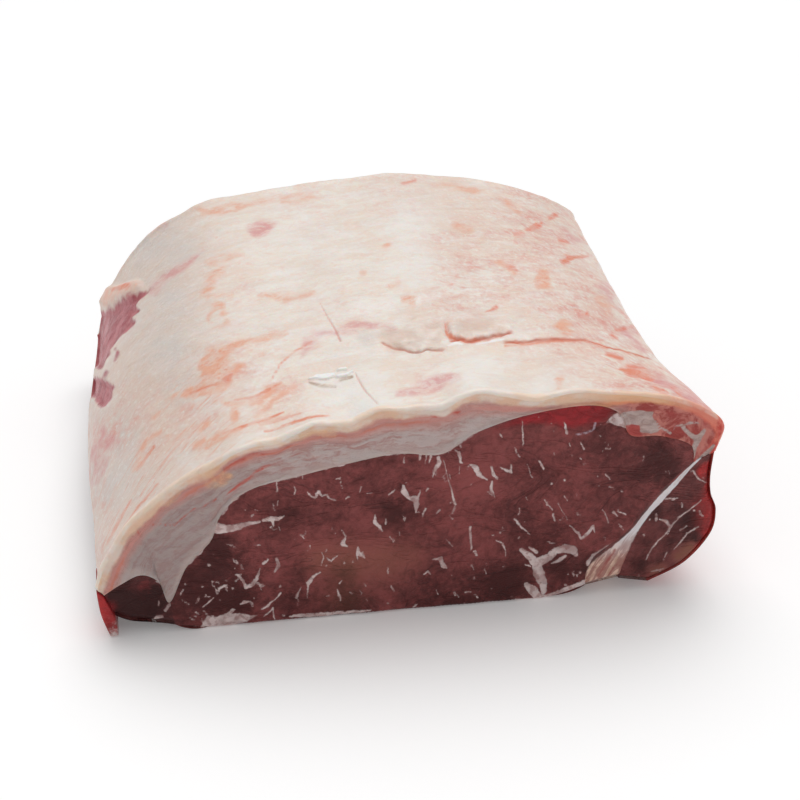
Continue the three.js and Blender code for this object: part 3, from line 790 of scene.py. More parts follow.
def layered(colour, *layers):
    """Lays colours over the first one in turn, each where its share says."""
    for share, over in layers:
        colour = blended(share, colour, over)
    return colour


def scaled(colour, factor):
    """A colour, lighter or darker by a factor."""
    return tuple(factor * part for part in colour)


def bumped(height, distance, strength):
    """A normal that follows the height."""
    return flow(height.tree, "ShaderNodeBump", {"Height": height, "Distance": distance, "Strength": strength})


# Effects that several materials share, as node groups


def effect(name, inputs, outputs):
    """An empty node group, with its inputs as flows and its outputs as sockets to send to."""
    tree = bpy.data.node_groups.new(name, "ShaderNodeTree")
    for label in inputs:
        tree.interface.new_socket(label, in_out="INPUT", socket_type="NodeSocketFloat")
    for label in outputs:
        tree.interface.new_socket(label, in_out="OUTPUT", socket_type="NodeSocketFloat")
    given = node(tree, "NodeGroupInput").outputs
    result = node(tree, "NodeGroupOutput").inputs
    return tree, {label: Flow(given[label]) for label in inputs}, result


def placed_effect(tree, name, inputs):
    """Puts a shared effect in a material, and gives back its outputs as flows."""
    makers = {"Ragged edge": ragged_edge, "Muscle grain": muscle_grain, "Fat grain": fat_grain}
    group = bpy.data.node_groups.get(name) or makers[name]()
    made = node(tree, "ShaderNodeGroup", inputs, node_tree=group)
    return {socket.name: Flow(socket) for socket in made.outputs}


def ragged_edge():
    """Turns a depth inside a stroke, in pixels, into a mask with a frayed edge."""
    tree, given, result = effect("Ragged edge", ["Depth", "Fray", "Fineness", "Softness"], ["Mask"])
    fray = (stretched(tree).speckle(given["Fineness"], 5.0, 0.62) - 0.5) * given["Fray"]
    mask = (given["Depth"] + fray).eased(given["Softness"] * -1.0, given["Softness"])
    send(mask, result["Mask"])
    return tree


def muscle_grain():
    """Fibres that run along the joint: fine and mottled at a cut, long lines at the sides."""
    tree, given, result = effect("Muscle grain", ["Fineness"], ["Shade", "Height", "Crease shade"])
    spot = stretched(tree, (1, 0.08, 1))
    swirl = flow(tree, "ShaderNodeTexNoise", {"Vector": spot, "Scale": 90.0, "Detail": 3.0}, "Color")
    bend = flow(tree, "ShaderNodeVectorMath", {0: swirl, "Scale": FIBRE_BEND}, operation="SCALE")
    bent = flow(tree, "ShaderNodeVectorMath", {0: spot, 1: bend}, operation="ADD")
    inputs = {"Vector": bent, "Scale": given["Fineness"]}
    bundles = flow(tree, "ShaderNodeTexVoronoi", inputs, "Distance", feature="SMOOTH_F1").eased(0.1, 0.8)
    threads = bent.speckle(1100.0, 4.0, 0.8)
    mottle = bent.speckle(300.0, 6.0, 0.7, 0.4)
    broad = stretched(tree, (1, 0.1, 1.7)).speckle(58.0, 6.0, 0.62, 0.9)
    crease = abs(stretched(tree, (0.7, 0.1, 1.7)).speckle(38.0, 3.0, 0.55, 1.6) - 0.5)
    send(broad * 0.55 + mottle * 0.65 + threads * 0.45 + bundles * -0.12, result["Shade"])
    send(crease.eased(0.0, 0.035) * 0.6 + threads * 0.8 + broad * 2.2 + mottle * 1.2, result["Height"])
    # Crease shade is painted shade: 1 in the creases, where the height is lowest
    send(crease.eased(0.022, 0.0), result["Crease shade"])
    return tree


def fat_grain():
    """The waxy, slightly lumpy look of firm fat, with fine streaks across it."""
    tree, given, result = effect("Fat grain", ["Fineness"], ["Shade", "Height"])
    broad = stretched(tree, (1, 1.6, 1.6)).speckle(26.0, 5.0, 0.6, 0.6)
    streaks = stretched(tree, (0.3, 1.2, 1.2)).speckle(given["Fineness"], 5.0, 0.62, 0.8)
    pores = stretched(tree).speckle(900.0, 3.0, 0.6)
    send(broad * 0.55 + streaks * 0.45, result["Shade"])
    send(streaks * 1.1 + pores * 0.35 + broad * 1.2, result["Height"])
    return tree


def new_material(name, **settings):
    """A material, its tree and its Principled shader's inputs, whose plain numbers are set."""
    material = bpy.data.materials.new(name)
    material.use_nodes = True
    shader = material.node_tree.nodes["Principled BSDF"]
    for key, value in settings.items():
        shader.inputs[key.replace("_", " ")].default_value = value
    return material, material.node_tree, shader.inputs


def frayed(tree, name, fray, fineness, softness):
    """Where the strokes drawn under a name are, with a frayed edge."""
    inputs = {"Depth": reading(tree, name), "Fray": fray, "Fineness": fineness, "Softness": softness}
    return placed_effect(tree, "Ragged edge", inputs)["Mask"]


def stain(under, name, colour, strength, fray, fineness, softness):
    """Lays a stained patch, mottled inside and soft at its edge, over a colour."""
    tree = under.tree
    mottle = stretched(tree, (0.8, 1.2, 1.2)).speckle(130.0, 7.0, 0.74, 0.5).eased(0.42, 0.57, 0.05, 1.0)
    halo = reading(tree, name).eased(-1.5 * softness, 1.2 * softness, 0.0, 0.42 * strength)
    share = frayed(tree, name, fray, fineness, softness) * mottle * strength
    return layered(under, (halo, colour), (share, colour))


def on_unrolled_skin(tree, turn, length, width):
    """The place on the unrolled skin, in units of a streak's length and width in millimetres."""
    across, along = (reading(tree, name) for name in ("skin_across", "skin_along"))
    flat = flow(tree, "ShaderNodeCombineXYZ", {0: across, 1: along})
    inputs = {"Vector": flat, "Rotation": (0, 0, turn), "Scale": (length, width, 1)}
    return flow(tree, "ShaderNodeMapping", inputs, vector_type="TEXTURE")


def zone(tree, name, most):
    """A soft zone of the skin, made uneven by noise."""
    uneven = stretched(tree, (1, 1.3, 1.3)).speckle(70.0, 5.0, 0.65, 0.4).eased(0.34, 0.62, 0.35, 1.0)
    return (reading(tree, name) * uneven * most).clamped()


def red_patches(spot):
    """Small soft patches, where reds of two depths mix."""
    return spot.speckle(110.0, 5.0, 0.65).eased(0.42, 0.60)


# Colours of the outer skin of the fat
BUTTER = (0.82, 0.71, 0.63)
WARM_CREAM = (0.86, 0.67, 0.54)
MILK = (0.92, 0.88, 0.845)
SALMON = (0.86, 0.60, 0.50)
# Darker, pinker beige for the far left: painted shade where the skin turns away from the light, and a pinker
# tone
SHADED_SIDE_BEIGE = (0.72, 0.54, 0.46)
# Warm beige fat, and painted shade on the slope behind the tear
WARM_AND_SHADED_BEIGE = (0.78, 0.60, 0.49)
# Grey fat, and painted shade where the grey zones lie
GREY_AND_SHADED_FAT = (0.67, 0.62, 0.585)
BLUSH = (0.77, 0.47, 0.40)
DEEP_BLUSH = (0.76, 0.28, 0.22)
PALE_THREADS = (0.90, 0.86, 0.82)
PALE_FAT = (0.90, 0.87, 0.83)
RUSTY_HAIRS = (0.80, 0.37, 0.26)
# Painted shade in the hollows between the rolled lumps
HOLLOW_SHADE_BEIGE = (0.70, 0.51, 0.42)
ROLL_PEACH = (0.88, 0.50, 0.38)
DEEP_ORANGE = (0.80, 0.33, 0.20)
BARE_REDS = ((0.36, 0.045, 0.062), (0.55, 0.155, 0.175))
RIM_CREAMS = ((0.93, 0.83, 0.76), (0.91, 0.72, 0.58))
RIM_PEACH = (0.88, 0.62, 0.46)
TIP_REDS = ((0.88, 0.46, 0.36), (0.74, 0.13, 0.09))
SHRED_WHITE = (0.93, 0.91, 0.88)
# Red of the crack and the tear, and painted shadow along the lump's front edge
GROOVE_RED_AND_SHADE = (0.70, 0.16, 0.075)

# Marks laid over the orange stains in turn: name, colour, strength, and the edge's fray in pixels,
# fineness, and softness in pixels
SKIN_MARKS = (
    ("pink", (0.72, 0.31, 0.30), 0.80, 8.0, 100.0, 4.0),
    ("spots", (0.80, 0.22, 0.14), 1.0, 4.4, 150.0, 2.2),
    ("lines", (0.80, 0.28, 0.17), 1.0, 3.6, 300.0, 1.1),
    ("shadow", (0.46, 0.32, 0.23), 1.0, 2.0, 300.0, 1.2),
)


def skin_colour(tree, tones, spot, tone):
    """The colour of the outer skin of the fat."""
    wide = on_unrolled_skin(tree, 0.15, 17.0, 10.0).speckle(1.0, 5.0, 0.64, 0.7)
    small = on_unrolled_skin(tree, 0.15, 5.0, 3.4).speckle(1.0, 5.0, 0.68, 0.6)
    streaky = on_unrolled_skin(tree, 0.3, 6.0, 7.0).speckle(1.0, 6.0, 0.66, 0.6)
    fine = on_unrolled_skin(tree, 0.3, 2.0, 2.6).speckle(1.0, 5.0, 0.68, 0.5)
    blotch = stretched(tree, (0.7, 1.2, 1.2)).speckle(85.0, 6.0, 0.68, 0.5)
    mottle = streaky * 0.35 + fine * 0.25 + blotch * 0.4
    flush = (reading(tree, "flush") * 1.0).clamped()
    skin = layered(
        blended(tone.eased(0.36, 0.58), BUTTER, tones.fat),
        (wide.eased(0.47, 0.62, 0.0, 0.5), WARM_CREAM),
        (wide.eased(0.48, 0.36, 0.0, 0.4), MILK),
        (small.eased(0.53, 0.66, 0.0, 0.5), SALMON),
        # The far left darker and pinker: painted shade, and a pinker tone
        (reading(tree, "far_left") * 0.5, SHADED_SIDE_BEIGE),
        # Warm beige, and painted shade on the slope behind the tear
        (zone(tree, "warm", 0.75), WARM_AND_SHADED_BEIGE),
        # Grey fat, and painted shade on the left shoulder, beside the lump and in the tear's hollow
        (zone(tree, "grey_and_shade", 0.85), GREY_AND_SHADED_FAT),
        (mottle.eased(0.42, 0.58) * flush * 0.95, BLUSH),
        (mottle.eased(0.53, 0.63) * flush * 0.8, DEEP_BLUSH),
        (fine.eased(0.47, 0.36) * 0.35, PALE_THREADS),
        (zone(tree, "pale", 0.8), PALE_FAT),
    )
    for turn, side in ((DIAGONAL, "far_left"), (-0.12, "peach")):
        hair = on_unrolled_skin(tree, turn, 15.0, 1.4).speckle(1.0, 5.0, 0.6, 1.2).eased(0.55, 0.66)
        hair = (hair * reading(tree, "streaks")).clamped() * reading(tree, side)
        skin = blended(hair * 0.85, skin, RUSTY_HAIRS)
    # Painted shade in the hollows between the rolled lumps
    skin = blended(reading(tree, "hollow_shade") * 0.6, skin, HOLLOW_SHADE_BEIGE)
    skin = stain(skin, "roll", ROLL_PEACH, 0.9, 6.0, 150.0, 3.0)
    skin = stain(skin, "orange", tones.stain, 0.86, 9.0, 115.0, 3.2)
    deep = fine.eased(0.52, 0.62) * reading(tree, "orange").eased(0.5, 4.5)
    skin = blended(deep * 0.6, skin, DEEP_ORANGE)
    for mark_settings in SKIN_MARKS:
        skin = stain(skin, *mark_settings)
    wet = stretched(tree, (1, 1, 1.6)).speckle(90.0, 6.0, 0.68).eased(0.36, 0.62)
    ragged_rim = reading(tree, "rim") + (spot.speckle(110.0, 4.0, 0.6) - 0.5) * 2.0
    rim = layered(
        blended(spot.speckle(60.0, 4.0, 0.6).eased(0.42, 0.60), *RIM_CREAMS),
        (reading(tree, "peach"), RIM_PEACH),
        (reading(tree, "tip"), blended(red_patches(spot), *TIP_REDS)),
    )
    return layered(
        skin,
        (frayed(tree, "bare", 7.0, 170.0, 1.8), blended(wet, *BARE_REDS)),
        (ragged_rim.eased(0.30, 1.0), rim),
        (reading(tree, "flake").eased(-0.6, 0.8), SHRED_WHITE),
        # Red in the crack and tear, and painted shadow at the lump's edge
        (reading(tree, "groove"), GROOVE_RED_AND_SHADE),
    )


# Colours of the fat where it is cut
SHADED_CUT = (0.40, 0.30, 0.285)
PALE_CUT = (0.66, 0.54, 0.51)
PINK_LAYER = (0.70, 0.31, 0.265)
LAYER_LINE = (0.42, 0.17, 0.13)
RED_THREAD = (0.72, 0.24, 0.17)
FLESH_REDS = ((0.40, 0.055, 0.045), (0.64, 0.22, 0.18))
RAW_REDS = ((0.62, 0.10, 0.07), (0.50, 0.075, 0.065))
AMBERS = ((0.84, 0.50, 0.36), (0.86, 0.32, 0.16))
TIP_AMBER = (0.80, 0.17, 0.11)
CUT_CREAMS = ((0.90, 0.74, 0.64), (0.89, 0.60, 0.43))
CUT_PEACH = (0.88, 0.52, 0.31)
CUT_TIP_REDS = ((0.84, 0.27, 0.19), (0.64, 0.07, 0.05))
AMBER_SPOT = (0.87, 0.54, 0.33)
WAXY_WHITES = ((0.46, 0.31, 0.28), (0.62, 0.47, 0.44))

# The cut fat's tint is multiplied by these, so that it goes from pink to white rather than dark to light
PINKER = (0.93, 0.74, 0.72)
WHITER = (1.10, 1.22, 1.24)
THREAD_DEPTH = 5.9


def cut_fat_colour(tree, tones, spot):
    """The colour of the fat where it is cut, from the beige rim inward, and the height of its strata."""
    peach, fleshy, tip = (reading(tree, name) for name in ("peach", "fleshy", "tip"))
    layer = reading(tree, "below_skin") + (spot.speckle(75.0, 5.0, 0.6) - 0.5) * 6.0
    across = flow(tree, "ShaderNodeSeparateXYZ", {0: spot})
    flat = flow(tree, "ShaderNodeCombineXYZ", {0: layer * 0.34, 1: across * 30.0})
    strata = flat.speckle(1.25, 5.0, 0.62, 0.6)
    crumbs = stretched(tree, (0.7, 1, 1.3)).speckle(300.0, 7.0, 0.74, 0.8)
    tone = strata * 0.5 + crumbs * 0.5
    pink, white = (
        tuple(part * factor for part, factor in zip(tones.cut_fat, factors)) for factors in (PINKER, WHITER))
    near_lean = reading(tree, "above_lean").eased(5.0, 1.0) * (1.0 - peach)
    gaps = spot.speckle(34.0, 3.0, 0.6).eased(0.46, 0.58)
    thread = abs(layer - THREAD_DEPTH).eased(0.9, 0.1) * spot.speckle(48.0, 4.0, 0.6).eased(0.44, 0.56)
    veins = spot.speckle(95.0, 5.0, 0.66, 1.2).eased(0.44, 0.58)
    cut = layered(
        blended(tone.eased(0.43, 0.56), pink, white),
        (reading(tree, "far_left") * 0.6, SHADED_CUT),
        (near_lean * 0.6, PALE_CUT),
        (layer.eased(10.0, 5.4) * strata.eased(0.36, 0.54, 0.40, 0.95), PINK_LAYER),
        (abs(strata - 0.5).eased(0.010, 0.0) * gaps * 0.6, LAYER_LINE),
        (thread * 0.7, RED_THREAD),
        (fleshy, blended(veins, *FLESH_REDS)),
    )
    cut = stain(cut, "raw", blended(peach, *RAW_REDS), 1.0, 3.6, 320.0, 1.2)
    amber = blended(tip, blended(peach, *AMBERS), TIP_AMBER)
    patchy = (spot.speckle(60.0, 4.0, 0.6).eased(0.50, 0.62, 0.15, 0.9) + peach).clamped()
    deeper = layer - peach * 2.2 + fleshy * 2.4
    rim = layered(
        blended(spot.speckle(70.0, 4.0, 0.6).eased(0.42, 0.58), *CUT_CREAMS),
        (peach, CUT_PEACH),
        (tip, blended(red_patches(spot), *CUT_TIP_REDS)),
    )
    cut = layered(cut, (deeper.eased(5.0, 3.2) * patchy, amber), (layer.eased(4.4, 2.6), rim))
    cut = stain(cut, "amber", AMBER_SPOT, 0.85, 6.0, 200.0, 2.4)
    waxy = blended(crumbs.eased(0.40, 0.60), *WAXY_WHITES)
    return blended(frayed(tree, "white", 2.2, 420.0, 0.7), cut, waxy), (tone - 0.5) * 3.4


def moist_fat(tones):
    """Cream fat: stained skin outside, thin layers at the cuts, bare lean low at the left."""
    material, tree, shader = new_material(
        "Moist cream fat", Subsurface_Weight=0.35, Subsurface_Scale=0.003, Specular_IOR_Level=0.4,
        Subsurface_Radius=(1.0, 0.55, 0.35), Coat_Weight=0.10, Coat_Roughness=0.22, IOR=1.45)
    spot = stretched(tree)
    cut = reading(tree, "cut")
    grain = placed_effect(tree, "Fat grain", {"Fineness": 150.0})
    skin = skin_colour(tree, tones, spot, grain["Shade"])
    cut_colour, strata = cut_fat_colour(tree, tones, spot)
    wrinkles = on_unrolled_skin(tree, DIAGONAL, 22.0, 2.2).speckle(1.0, 5.0, 0.62, 0.6)
    wrinkles = wrinkles * reading(tree, "far_left")
    send(blended(cut, skin, cut_colour), shader["Base Color"])
    send(spot.speckle(120.0, 4.0, 0.6).eased(0.3, 0.7, 0.32, 0.52), shader["Roughness"])
    send(bumped(grain["Height"] + strata * cut + wrinkles * 1.5, 0.0007, 0.8), shader["Normal"])
    return material


# Colours of the lean, and how far its fibres bend, in metres
BROWN_LEAN = (0.30, 0.12, 0.075)
# Painted shade for the creases between fibre bundles
CREASE_SHADE_COLOUR = (0.045, 0.015, 0.016)
MILKY_EDGE = (0.46, 0.20, 0.19)
DULL_FLECK = (0.58, 0.38, 0.36)
WET_GLEAM = (0.66, 0.52, 0.60)
FIBRE_BEND = 0.006


def marbled_lean(name, tones, base, skinned=None):
    """Moist lean muscle: fibre bundles, light and dark zones, white flecks and a red film."""
    material, tree, shader = new_material(
        name, Subsurface_Weight=0.10, Subsurface_Scale=0.0015, Subsurface_Radius=(1.0, 0.25, 0.2),
        Specular_IOR_Level=0.22, Coat_Roughness=0.18, IOR=1.42)
    spot = stretched(tree)
    along = stretched(tree, (1, 0.3, 1))
    grain = placed_effect(tree, "Muscle grain", {"Fineness": 480.0})
    tone = grain["Shade"] * 1.5 + reading(tree, "tone")
    light = tuple(min(1.0, 1.65 * part + 0.014) for part in base)
    red = skinned or tones.film
    film = (reading(tree, "film") + grain["Shade"] * 0.6).eased(0.55, 1.6)
    sinewy = along.speckle(140.0, 6.0, 0.7, 0.6).eased(0.38, 0.60)
    broken = stretched(tree, (1, 0.2, 1)).speckle(45.0).eased(0.48, 0.60)
    crease_shading = (grain["Crease shade"] * broken * (1.0 - film)).clamped()
    white = frayed(tree, "white", 2.6, 900.0, 0.55)
    clear = spot.speckle(90.0, 3.0, 0.6).eased(0.36, 0.56, 0.45, 1.0)
    flesh = layered(
        blended(tone.eased(0.62, 1.70), scaled(base, 0.42), light),
        ((reading(tree, "warmth") * 0.5).clamped(), BROWN_LEAN),
        (film * 0.95, blended(sinewy, scaled(red, 0.72), scaled(red, 1.18))),
        # Painted shade in the creases between fibre bundles
        (crease_shading * 0.35, CREASE_SHADE_COLOUR),
        (frayed(tree, "white", 4.0, 480.0, 1.8) * 0.3, MILKY_EDGE),
        (white * clear, blended(spot.speckle(420.0).eased(0.36, 0.54), DULL_FLECK, tones.fleck)),
        (frayed(tree, "sheen", 1.6, 400.0, 0.8) * 0.8, WET_GLEAM),
    )
    send(flesh, shader["Base Color"])
    send(reading(tree, "film").eased(0.4, 1.2, 0.05, 0.16), shader["Coat Weight"])
    send(along.speckle(150.0, 4.0, 0.6).eased(0.35, 0.65, 0.30, 0.50), shader["Roughness"])
    send(bumped(grain["Height"] + white * 0.35, 0.0008, 0.8), shader["Normal"])
    return material


# Colours of the seam, and the length and width of its threads in metres
SEAM_SHADE = (0.58, 0.46, 0.45)
FOOT_BEIGES = ((0.56, 0.33, 0.24), (0.80, 0.56, 0.45))
FOOT_STREAK = (0.36, 0.13, 0.11)
SEAM_BLOOD = (0.34, 0.06, 0.05)
OVERGROWN_REDS = ((0.085, 0.018, 0.016), (0.20, 0.030, 0.026))
SEAM_THREAD = (0.0024, 1.0, 0.016)


def silverskin(tones):
    """The pale seam between the muscles: white at the top, beige and streaked at the foot."""
    material, tree, shader = new_material(
        "Pale silverskin", Subsurface_Weight=0.2, Subsurface_Scale=0.002, Subsurface_Radius=(1.0, 0.5, 0.4),
        Coat_Weight=0.15, Coat_Roughness=0.15, IOR=1.45)
    spot = stretched(tree, (1, 0.1, 1))
    inputs = {"Vector": spot, "Rotation": (0, SEAM_LEAN, 0), "Scale": SEAM_THREAD}
    threads = flow(tree, "ShaderNodeMapping", inputs, vector_type="TEXTURE").speckle(1.0, 5.0, 0.62, 0.8)
    beige = blended(spot.speckle(240.0, 4.0, 0.6).eased(0.40, 0.60), *FOOT_BEIGES)
    colour = layered(
        blended(threads.eased(0.36, 0.54), SEAM_SHADE, tones.seam),
        (reading(tree, "foot"), blended(threads.eased(0.54, 0.46) * 0.8, beige, FOOT_STREAK)),
        (frayed(tree, "raw", 3.6, 300.0, 1.2) * 0.85, SEAM_BLOOD),
        (frayed(tree, "overgrown", 5.0, 300.0, 1.0), blended(red_patches(spot), *OVERGROWN_REDS)),
    )
    send(colour, shader["Base Color"])
    send(spot.speckle(200.0).eased(0.3, 0.7, 0.25, 0.45), shader["Roughness"])
    send(bumped(threads, 0.0006, 0.7), shader["Normal"])
    return material


# Rules and measures that the pieces share

# Points at which a curve is measured, the share of the way up from which a vertex belongs to the skin,
# and how close to 0 or 1 a share along the joint is on a cut face
OUTLINE_SAMPLES = 400
SKIN_FROM = 0.999
TOUCHING = 1e-6


def wandered(points, size, amount, seed):
    """Points moved across the section by smooth noise, so that a stroke drawn on them wavers."""
    steps = [lattice(points, size, seed), np.zeros(len(points)), lattice(points, size, seed + 2)]
    return points + amount * np.stack(steps, 1)


def at_cut(spots):
    """Where a box's vertices are on the front cut face."""
    return spots[:, 1] < TOUCHING


def at_back(spots):
    """Where they are on the back cut face."""
    return spots[:, 1] > 1 - TOUCHING


def on_skin(spots):
    """Where they are on the uppermost face, which is the skin of the fat cap."""
    return spots[:, 2] > SKIN_FROM


def from_outline(section, points):
    """The distance of section points from a curve, in metres."""
    nearest = np.full(len(section), 1.0)
    for sample in spline(points, np.linspace(0, 1, OUTLINE_SAMPLES)):
        nearest = np.minimum(nearest, np.hypot(section[:, 0] - sample[0], section[:, 1] - sample[1]))
    return nearest


def turned_in(distance, radius):
    """How far a cut face bends back near a free edge, so that the edge is round."""
    return radius * np.clip(1 - distance / radius, 0, 1) ** 2


def seeded_flecks(seed, count, section, y, longest, widest):
    """Small flecks of fat scattered over a face of a section, as strokes in metres."""
    chance = np.random.default_rng(seed)
    flecks = []
    for _ in range(count):
        spot = section(chance.uniform(0.03, 0.97, 1), chance.uniform(0.03, 0.97, 1))[0]
        lean_to = chance.normal(-1.1, 0.55)
        length = chance.uniform(0.2, 1.0) ** 2 * longest * MM
        width = chance.uniform(0.25, 1.0) ** 2 * widest
        bend = chance.normal(0, 0.35)
        stroke = []
        for share, thick in ((-1, 0.4), (0, 1.0), (1, 0.5)):
            angle = lean_to + bend * share
            x = spot[0] + share * length * math.cos(angle)
            z = spot[1] + share * length * math.sin(angle)
            stroke.append((x, y, z, width * thick))
        flecks.append(stroke)
    return flecks


# The fat cap

CAP_CELLS = (118, 92, 8)
CAP_FINE = [(0, 7 * MM, 2.0), (CRACK_PLACE, 10 * MM, 2.0)]

# Heights and depths of its relief, and how far its cut faces are set back
SCORE_DEPTH = 0.4 * MM
TEAR_DEPTH = 1.12 * MM
RUMPLE_HEIGHT = 1.0 * MM
SHRED_HEIGHT = 0.8 * MM
DIP_DEPTH = 1.2 * MM
LUMP_HEIGHT = 1.0 * MM
WAVE_HEIGHT = 0.7 * MM
ROLL_HEIGHT = 2.2 * MM
HOLLOW_DEPTH = 1.6 * MM
SKIN_RUMPLE = 0.35 * MM
SKIN_PUCKER = 0.08 * MM
BEAD_HEIGHT = 0.55 * MM
RIM_RADIUS = 1.7 * MM
FAT_SET_BACK = 0.6 * MM
FAT_UNEVEN = 0.3 * MM

# How far the rim turns on each side of its middle, in radians
RIM_TURN = math.pi / 4

# The pixels of the photograph, from left to right, between which the long marks become thinner
CRACK_THINS = (570, 610)

# What the photograph shows where the fat is cut
CUT_FAT_RED = [
    [(224, 471, 0.6), (240, 463, 1.3), (257, 455, 1.2), (275, 450, 0.8), (291, 447, 0.5)],
    [(157, 523, 0.4), (170, 524, 0.8), (184, 516, 1.0), (201, 506, 0.8), (210, 498, 0.6)],
    [(224, 492, 0.5), (237, 486, 1.0), (251, 475, 0.8), (271, 465, 0.8), (300, 457, 0.4)],
    [(138, 528, 0.8), (142, 536, 0.8)], [(206, 480, 1.5), (215, 480, 2.4), (224, 477, 1.0)],
    [(432, 411, 0.8), (440, 413, 0.8)], [(447, 413, 0.7), (464, 416, 0.8)],
    [(619, 433, 3.0), (630, 433, 4.6), (639, 431, 3.0)], [(712, 424, 4.0), (718, 430, 6.0), (721, 436, 4.0)],
    [(698, 456, 1.6), (706, 447, 2.0), (716, 444, 2.0)], [(700, 474, 4.0), (706, 478, 4.0)],
    [(663, 413, 0.5), (670, 417, 1.5)], [(690, 424, 0.5), (704, 430, 1.5)],
]
AMBER_PATCHES = [
    [(166, 501, 3), (175, 493, 3)], [(208, 473, 4), (218, 466, 4)], [(206, 484, 3), (222, 477, 4)],
    [(452, 404, 2), (468, 398, 3), (486, 396, 2)], [(300, 440, 2), (330, 436, 3)],
]

# What is drawn on the cap: name, strokes, outlines, and whether their edges waver
CAP_DRAWN = (
    ("orange", ORANGE_STAINS, (), True),
    ("pink", PINK_STAINS + LEAN_TRAIL, (), True),
    ("spots", SPOTS, (), True),
    ("amber", AMBER_PATCHES, (), True),
    ("raw", CUT_FAT_RED, CORNER_FLESH, True),
    ("lines", THIN_LINES, (), False),
    ("flake", SHREDS + WHITE_LIP + PALE_LINE, (), False),
    ("bare", LEAN_ISLANDS, BARE_LEAN, False),
    ("shadow", BROWN_SHADOWS, (), False),
    ("roll", CREAM_ROLL, (), False),
    ("white", CORNER_STRANDS, CORNER_WHITE, False),
)
CAP_ZONES = (
    ("flush", FLUSH_ZONES), ("pale", PALE_ZONES), ("warm", WARM_AND_SHADE_ZONES), ("grey_and_shade", GREY_AND_SHADE_ZONES),
    ("streaks", STREAK_ZONES),
)


def cap_form(spots):
    """The cap's points without relief, with their section, distance and thickness."""
    section = cap_section(spots[:, 0], spots[:, 2])
    along = steps_along(spots[:, 1], CAP_FINE)
    distance = along * LENGTH
    reach = bell(distance, CRACK_PLACE, 30 * MM) * smooth(distance, 0, 15 * MM)
    drift = CRACK_DRIFT * smooth(section[:, 0], 62 * MM, CRACK_END) * reach
    form = placed(section, along - drift * spots[:, 2] / LENGTH)
    thickness = np.linalg.norm(spline(CAP_SKIN, spots[:, 0]) - spline(CAP_LEAN, spots[:, 0]), axis=1)
    return form, section, distance, thickness


def swells(x, distance):
    """The low swells of the skin: scallops at the cut, a dip and a lump at the crack, and waves."""
    height = np.zeros(len(x))
    for place, lift, half_width in SCALLOPS:
        height += lift * MM * bell(x, place * MM, half_width * MM) * np.exp(-distance / SCALLOP_REACH)
    begun = smooth(x, CRACK_START - 4 * MM, CRACK_START + 4 * MM)
    cracked = begun * (1 - smooth(x, CRACK_END - 8 * MM, CRACK_END))
    height -= DIP_DEPTH * cracked * bell(distance, CRACK_PLACE - 12 * MM, 9 * MM)
    height += LUMP_HEIGHT * bell(x, 9 * MM, 12 * MM) * bell(distance, CRACK_PLACE + 7 * MM, 6 * MM)
    waves = np.sin(x / (15 * MM) + 1.3) * np.cos(distance / (21 * MM) + 0.4)
    return height + WAVE_HEIGHT * waves * smooth(distance, 0, 30 * MM)


def over_line(pixels, path):
    """How far points lie behind a line that runs across the picture, in pixels, and one between its ends."""
    spots = np.array(path, dtype=float)
    across = pixels[:, 0]
    begun, ended = (smooth(across, end - 3, end + 3) for end in (spots[0, 0], spots[-1, 0]))
    return np.interp(across, spots[:, 0], spots[:, 1]) - pixels[:, 1], begun * (1 - ended)


def rumples(form):
    """The uneven heights of the rolled lumps, about -1 to 1."""
    return crags(form * [1, 0.7, 1], 6 * MM, 131)


def mark_relief(form):
    """Heights of the crack, tear, lump, scores and shreds, and how deep the tinted grooves are."""
    pixels = seen_at(form)
    wander = 1.1 * lattice(form, 5 * MM, 3) + 0.6 * lattice(form, 1.6 * MM, 4)
    broken = 0.75 + 0.25 * lattice(form, 4 * MM, 17)
    thin = mix(1.0, 0.6, smooth(pixels[:, 0], *CRACK_THINS))
    height = np.zeros(len(form))
    groove = np.zeros(len(form))
    for path, rise, reach, depth, width, redness in LONG_MARKS:
        over, held = over_line(pixels, path)
        over = over + wander
        line = held * bell(over, 0, width * thin)
        height += rise * MM * held * smooth(over, -0.5, 3.5) * (1 - smooth(over, reach / 2, reach))
        height -= depth * MM * line * thin
        tinted = held * bell(over, 0.3, 1.35 * width * thin)
        groove = np.maximum(groove, redness * tinted * broken)
    height += RUMPLE_HEIGHT * np.minimum(patches(pixels, RUMPLED), 1) * rumples(form)
    scored = smooth(inside_strokes(pixels, SCORES), -0.9, 0.6)
    hollow = smooth(inside_strokes(pixels, TEAR_HOLLOW) + wander, -3, 2)
    flakes = smooth(inside_strokes(pixels, SHREDS) + 0.7 * lattice(form, 1.5 * MM, 8), -0.6, 0.8)
    height += SHRED_HEIGHT * flakes - SCORE_DEPTH * scored - TEAR_DEPTH * hollow
    groove = np.maximum(np.maximum(groove, 0.5 * scored), 0.35 * hollow)
    return height, np.clip(groove, 0, 1)


def near_marks(reach):
    """A rule that picks the skin's vertices within reach of a mark, in pixels."""
    lines = [[(x, y, 0) for x, y in path] for path, *_ in LONG_MARKS]

    def rule(spots):
        picked = np.zeros(len(spots), dtype=bool)
        skin = np.nonzero(on_skin(spots))[0]
        pixels = seen_at(cap_form(spots[skin])[0])
        picked[skin] = inside_strokes(pixels, lines + SCORES + SHREDS + TEAR_HOLLOW) > -reach
        return picked

    return rule


def outer_skin(spots):
    """A rule that picks the vertices of the skin and of the cut face."""
    return on_skin(spots) | at_cut(spots)


def skin_run(share):
    """The direction of the skin's section at each share, with length one."""
    run = spline(CAP_SKIN, np.minimum(1, share + 0.004)) - spline(CAP_SKIN, np.maximum(0, share - 0.004))
    return run / column(np.linalg.norm(run, axis=1))


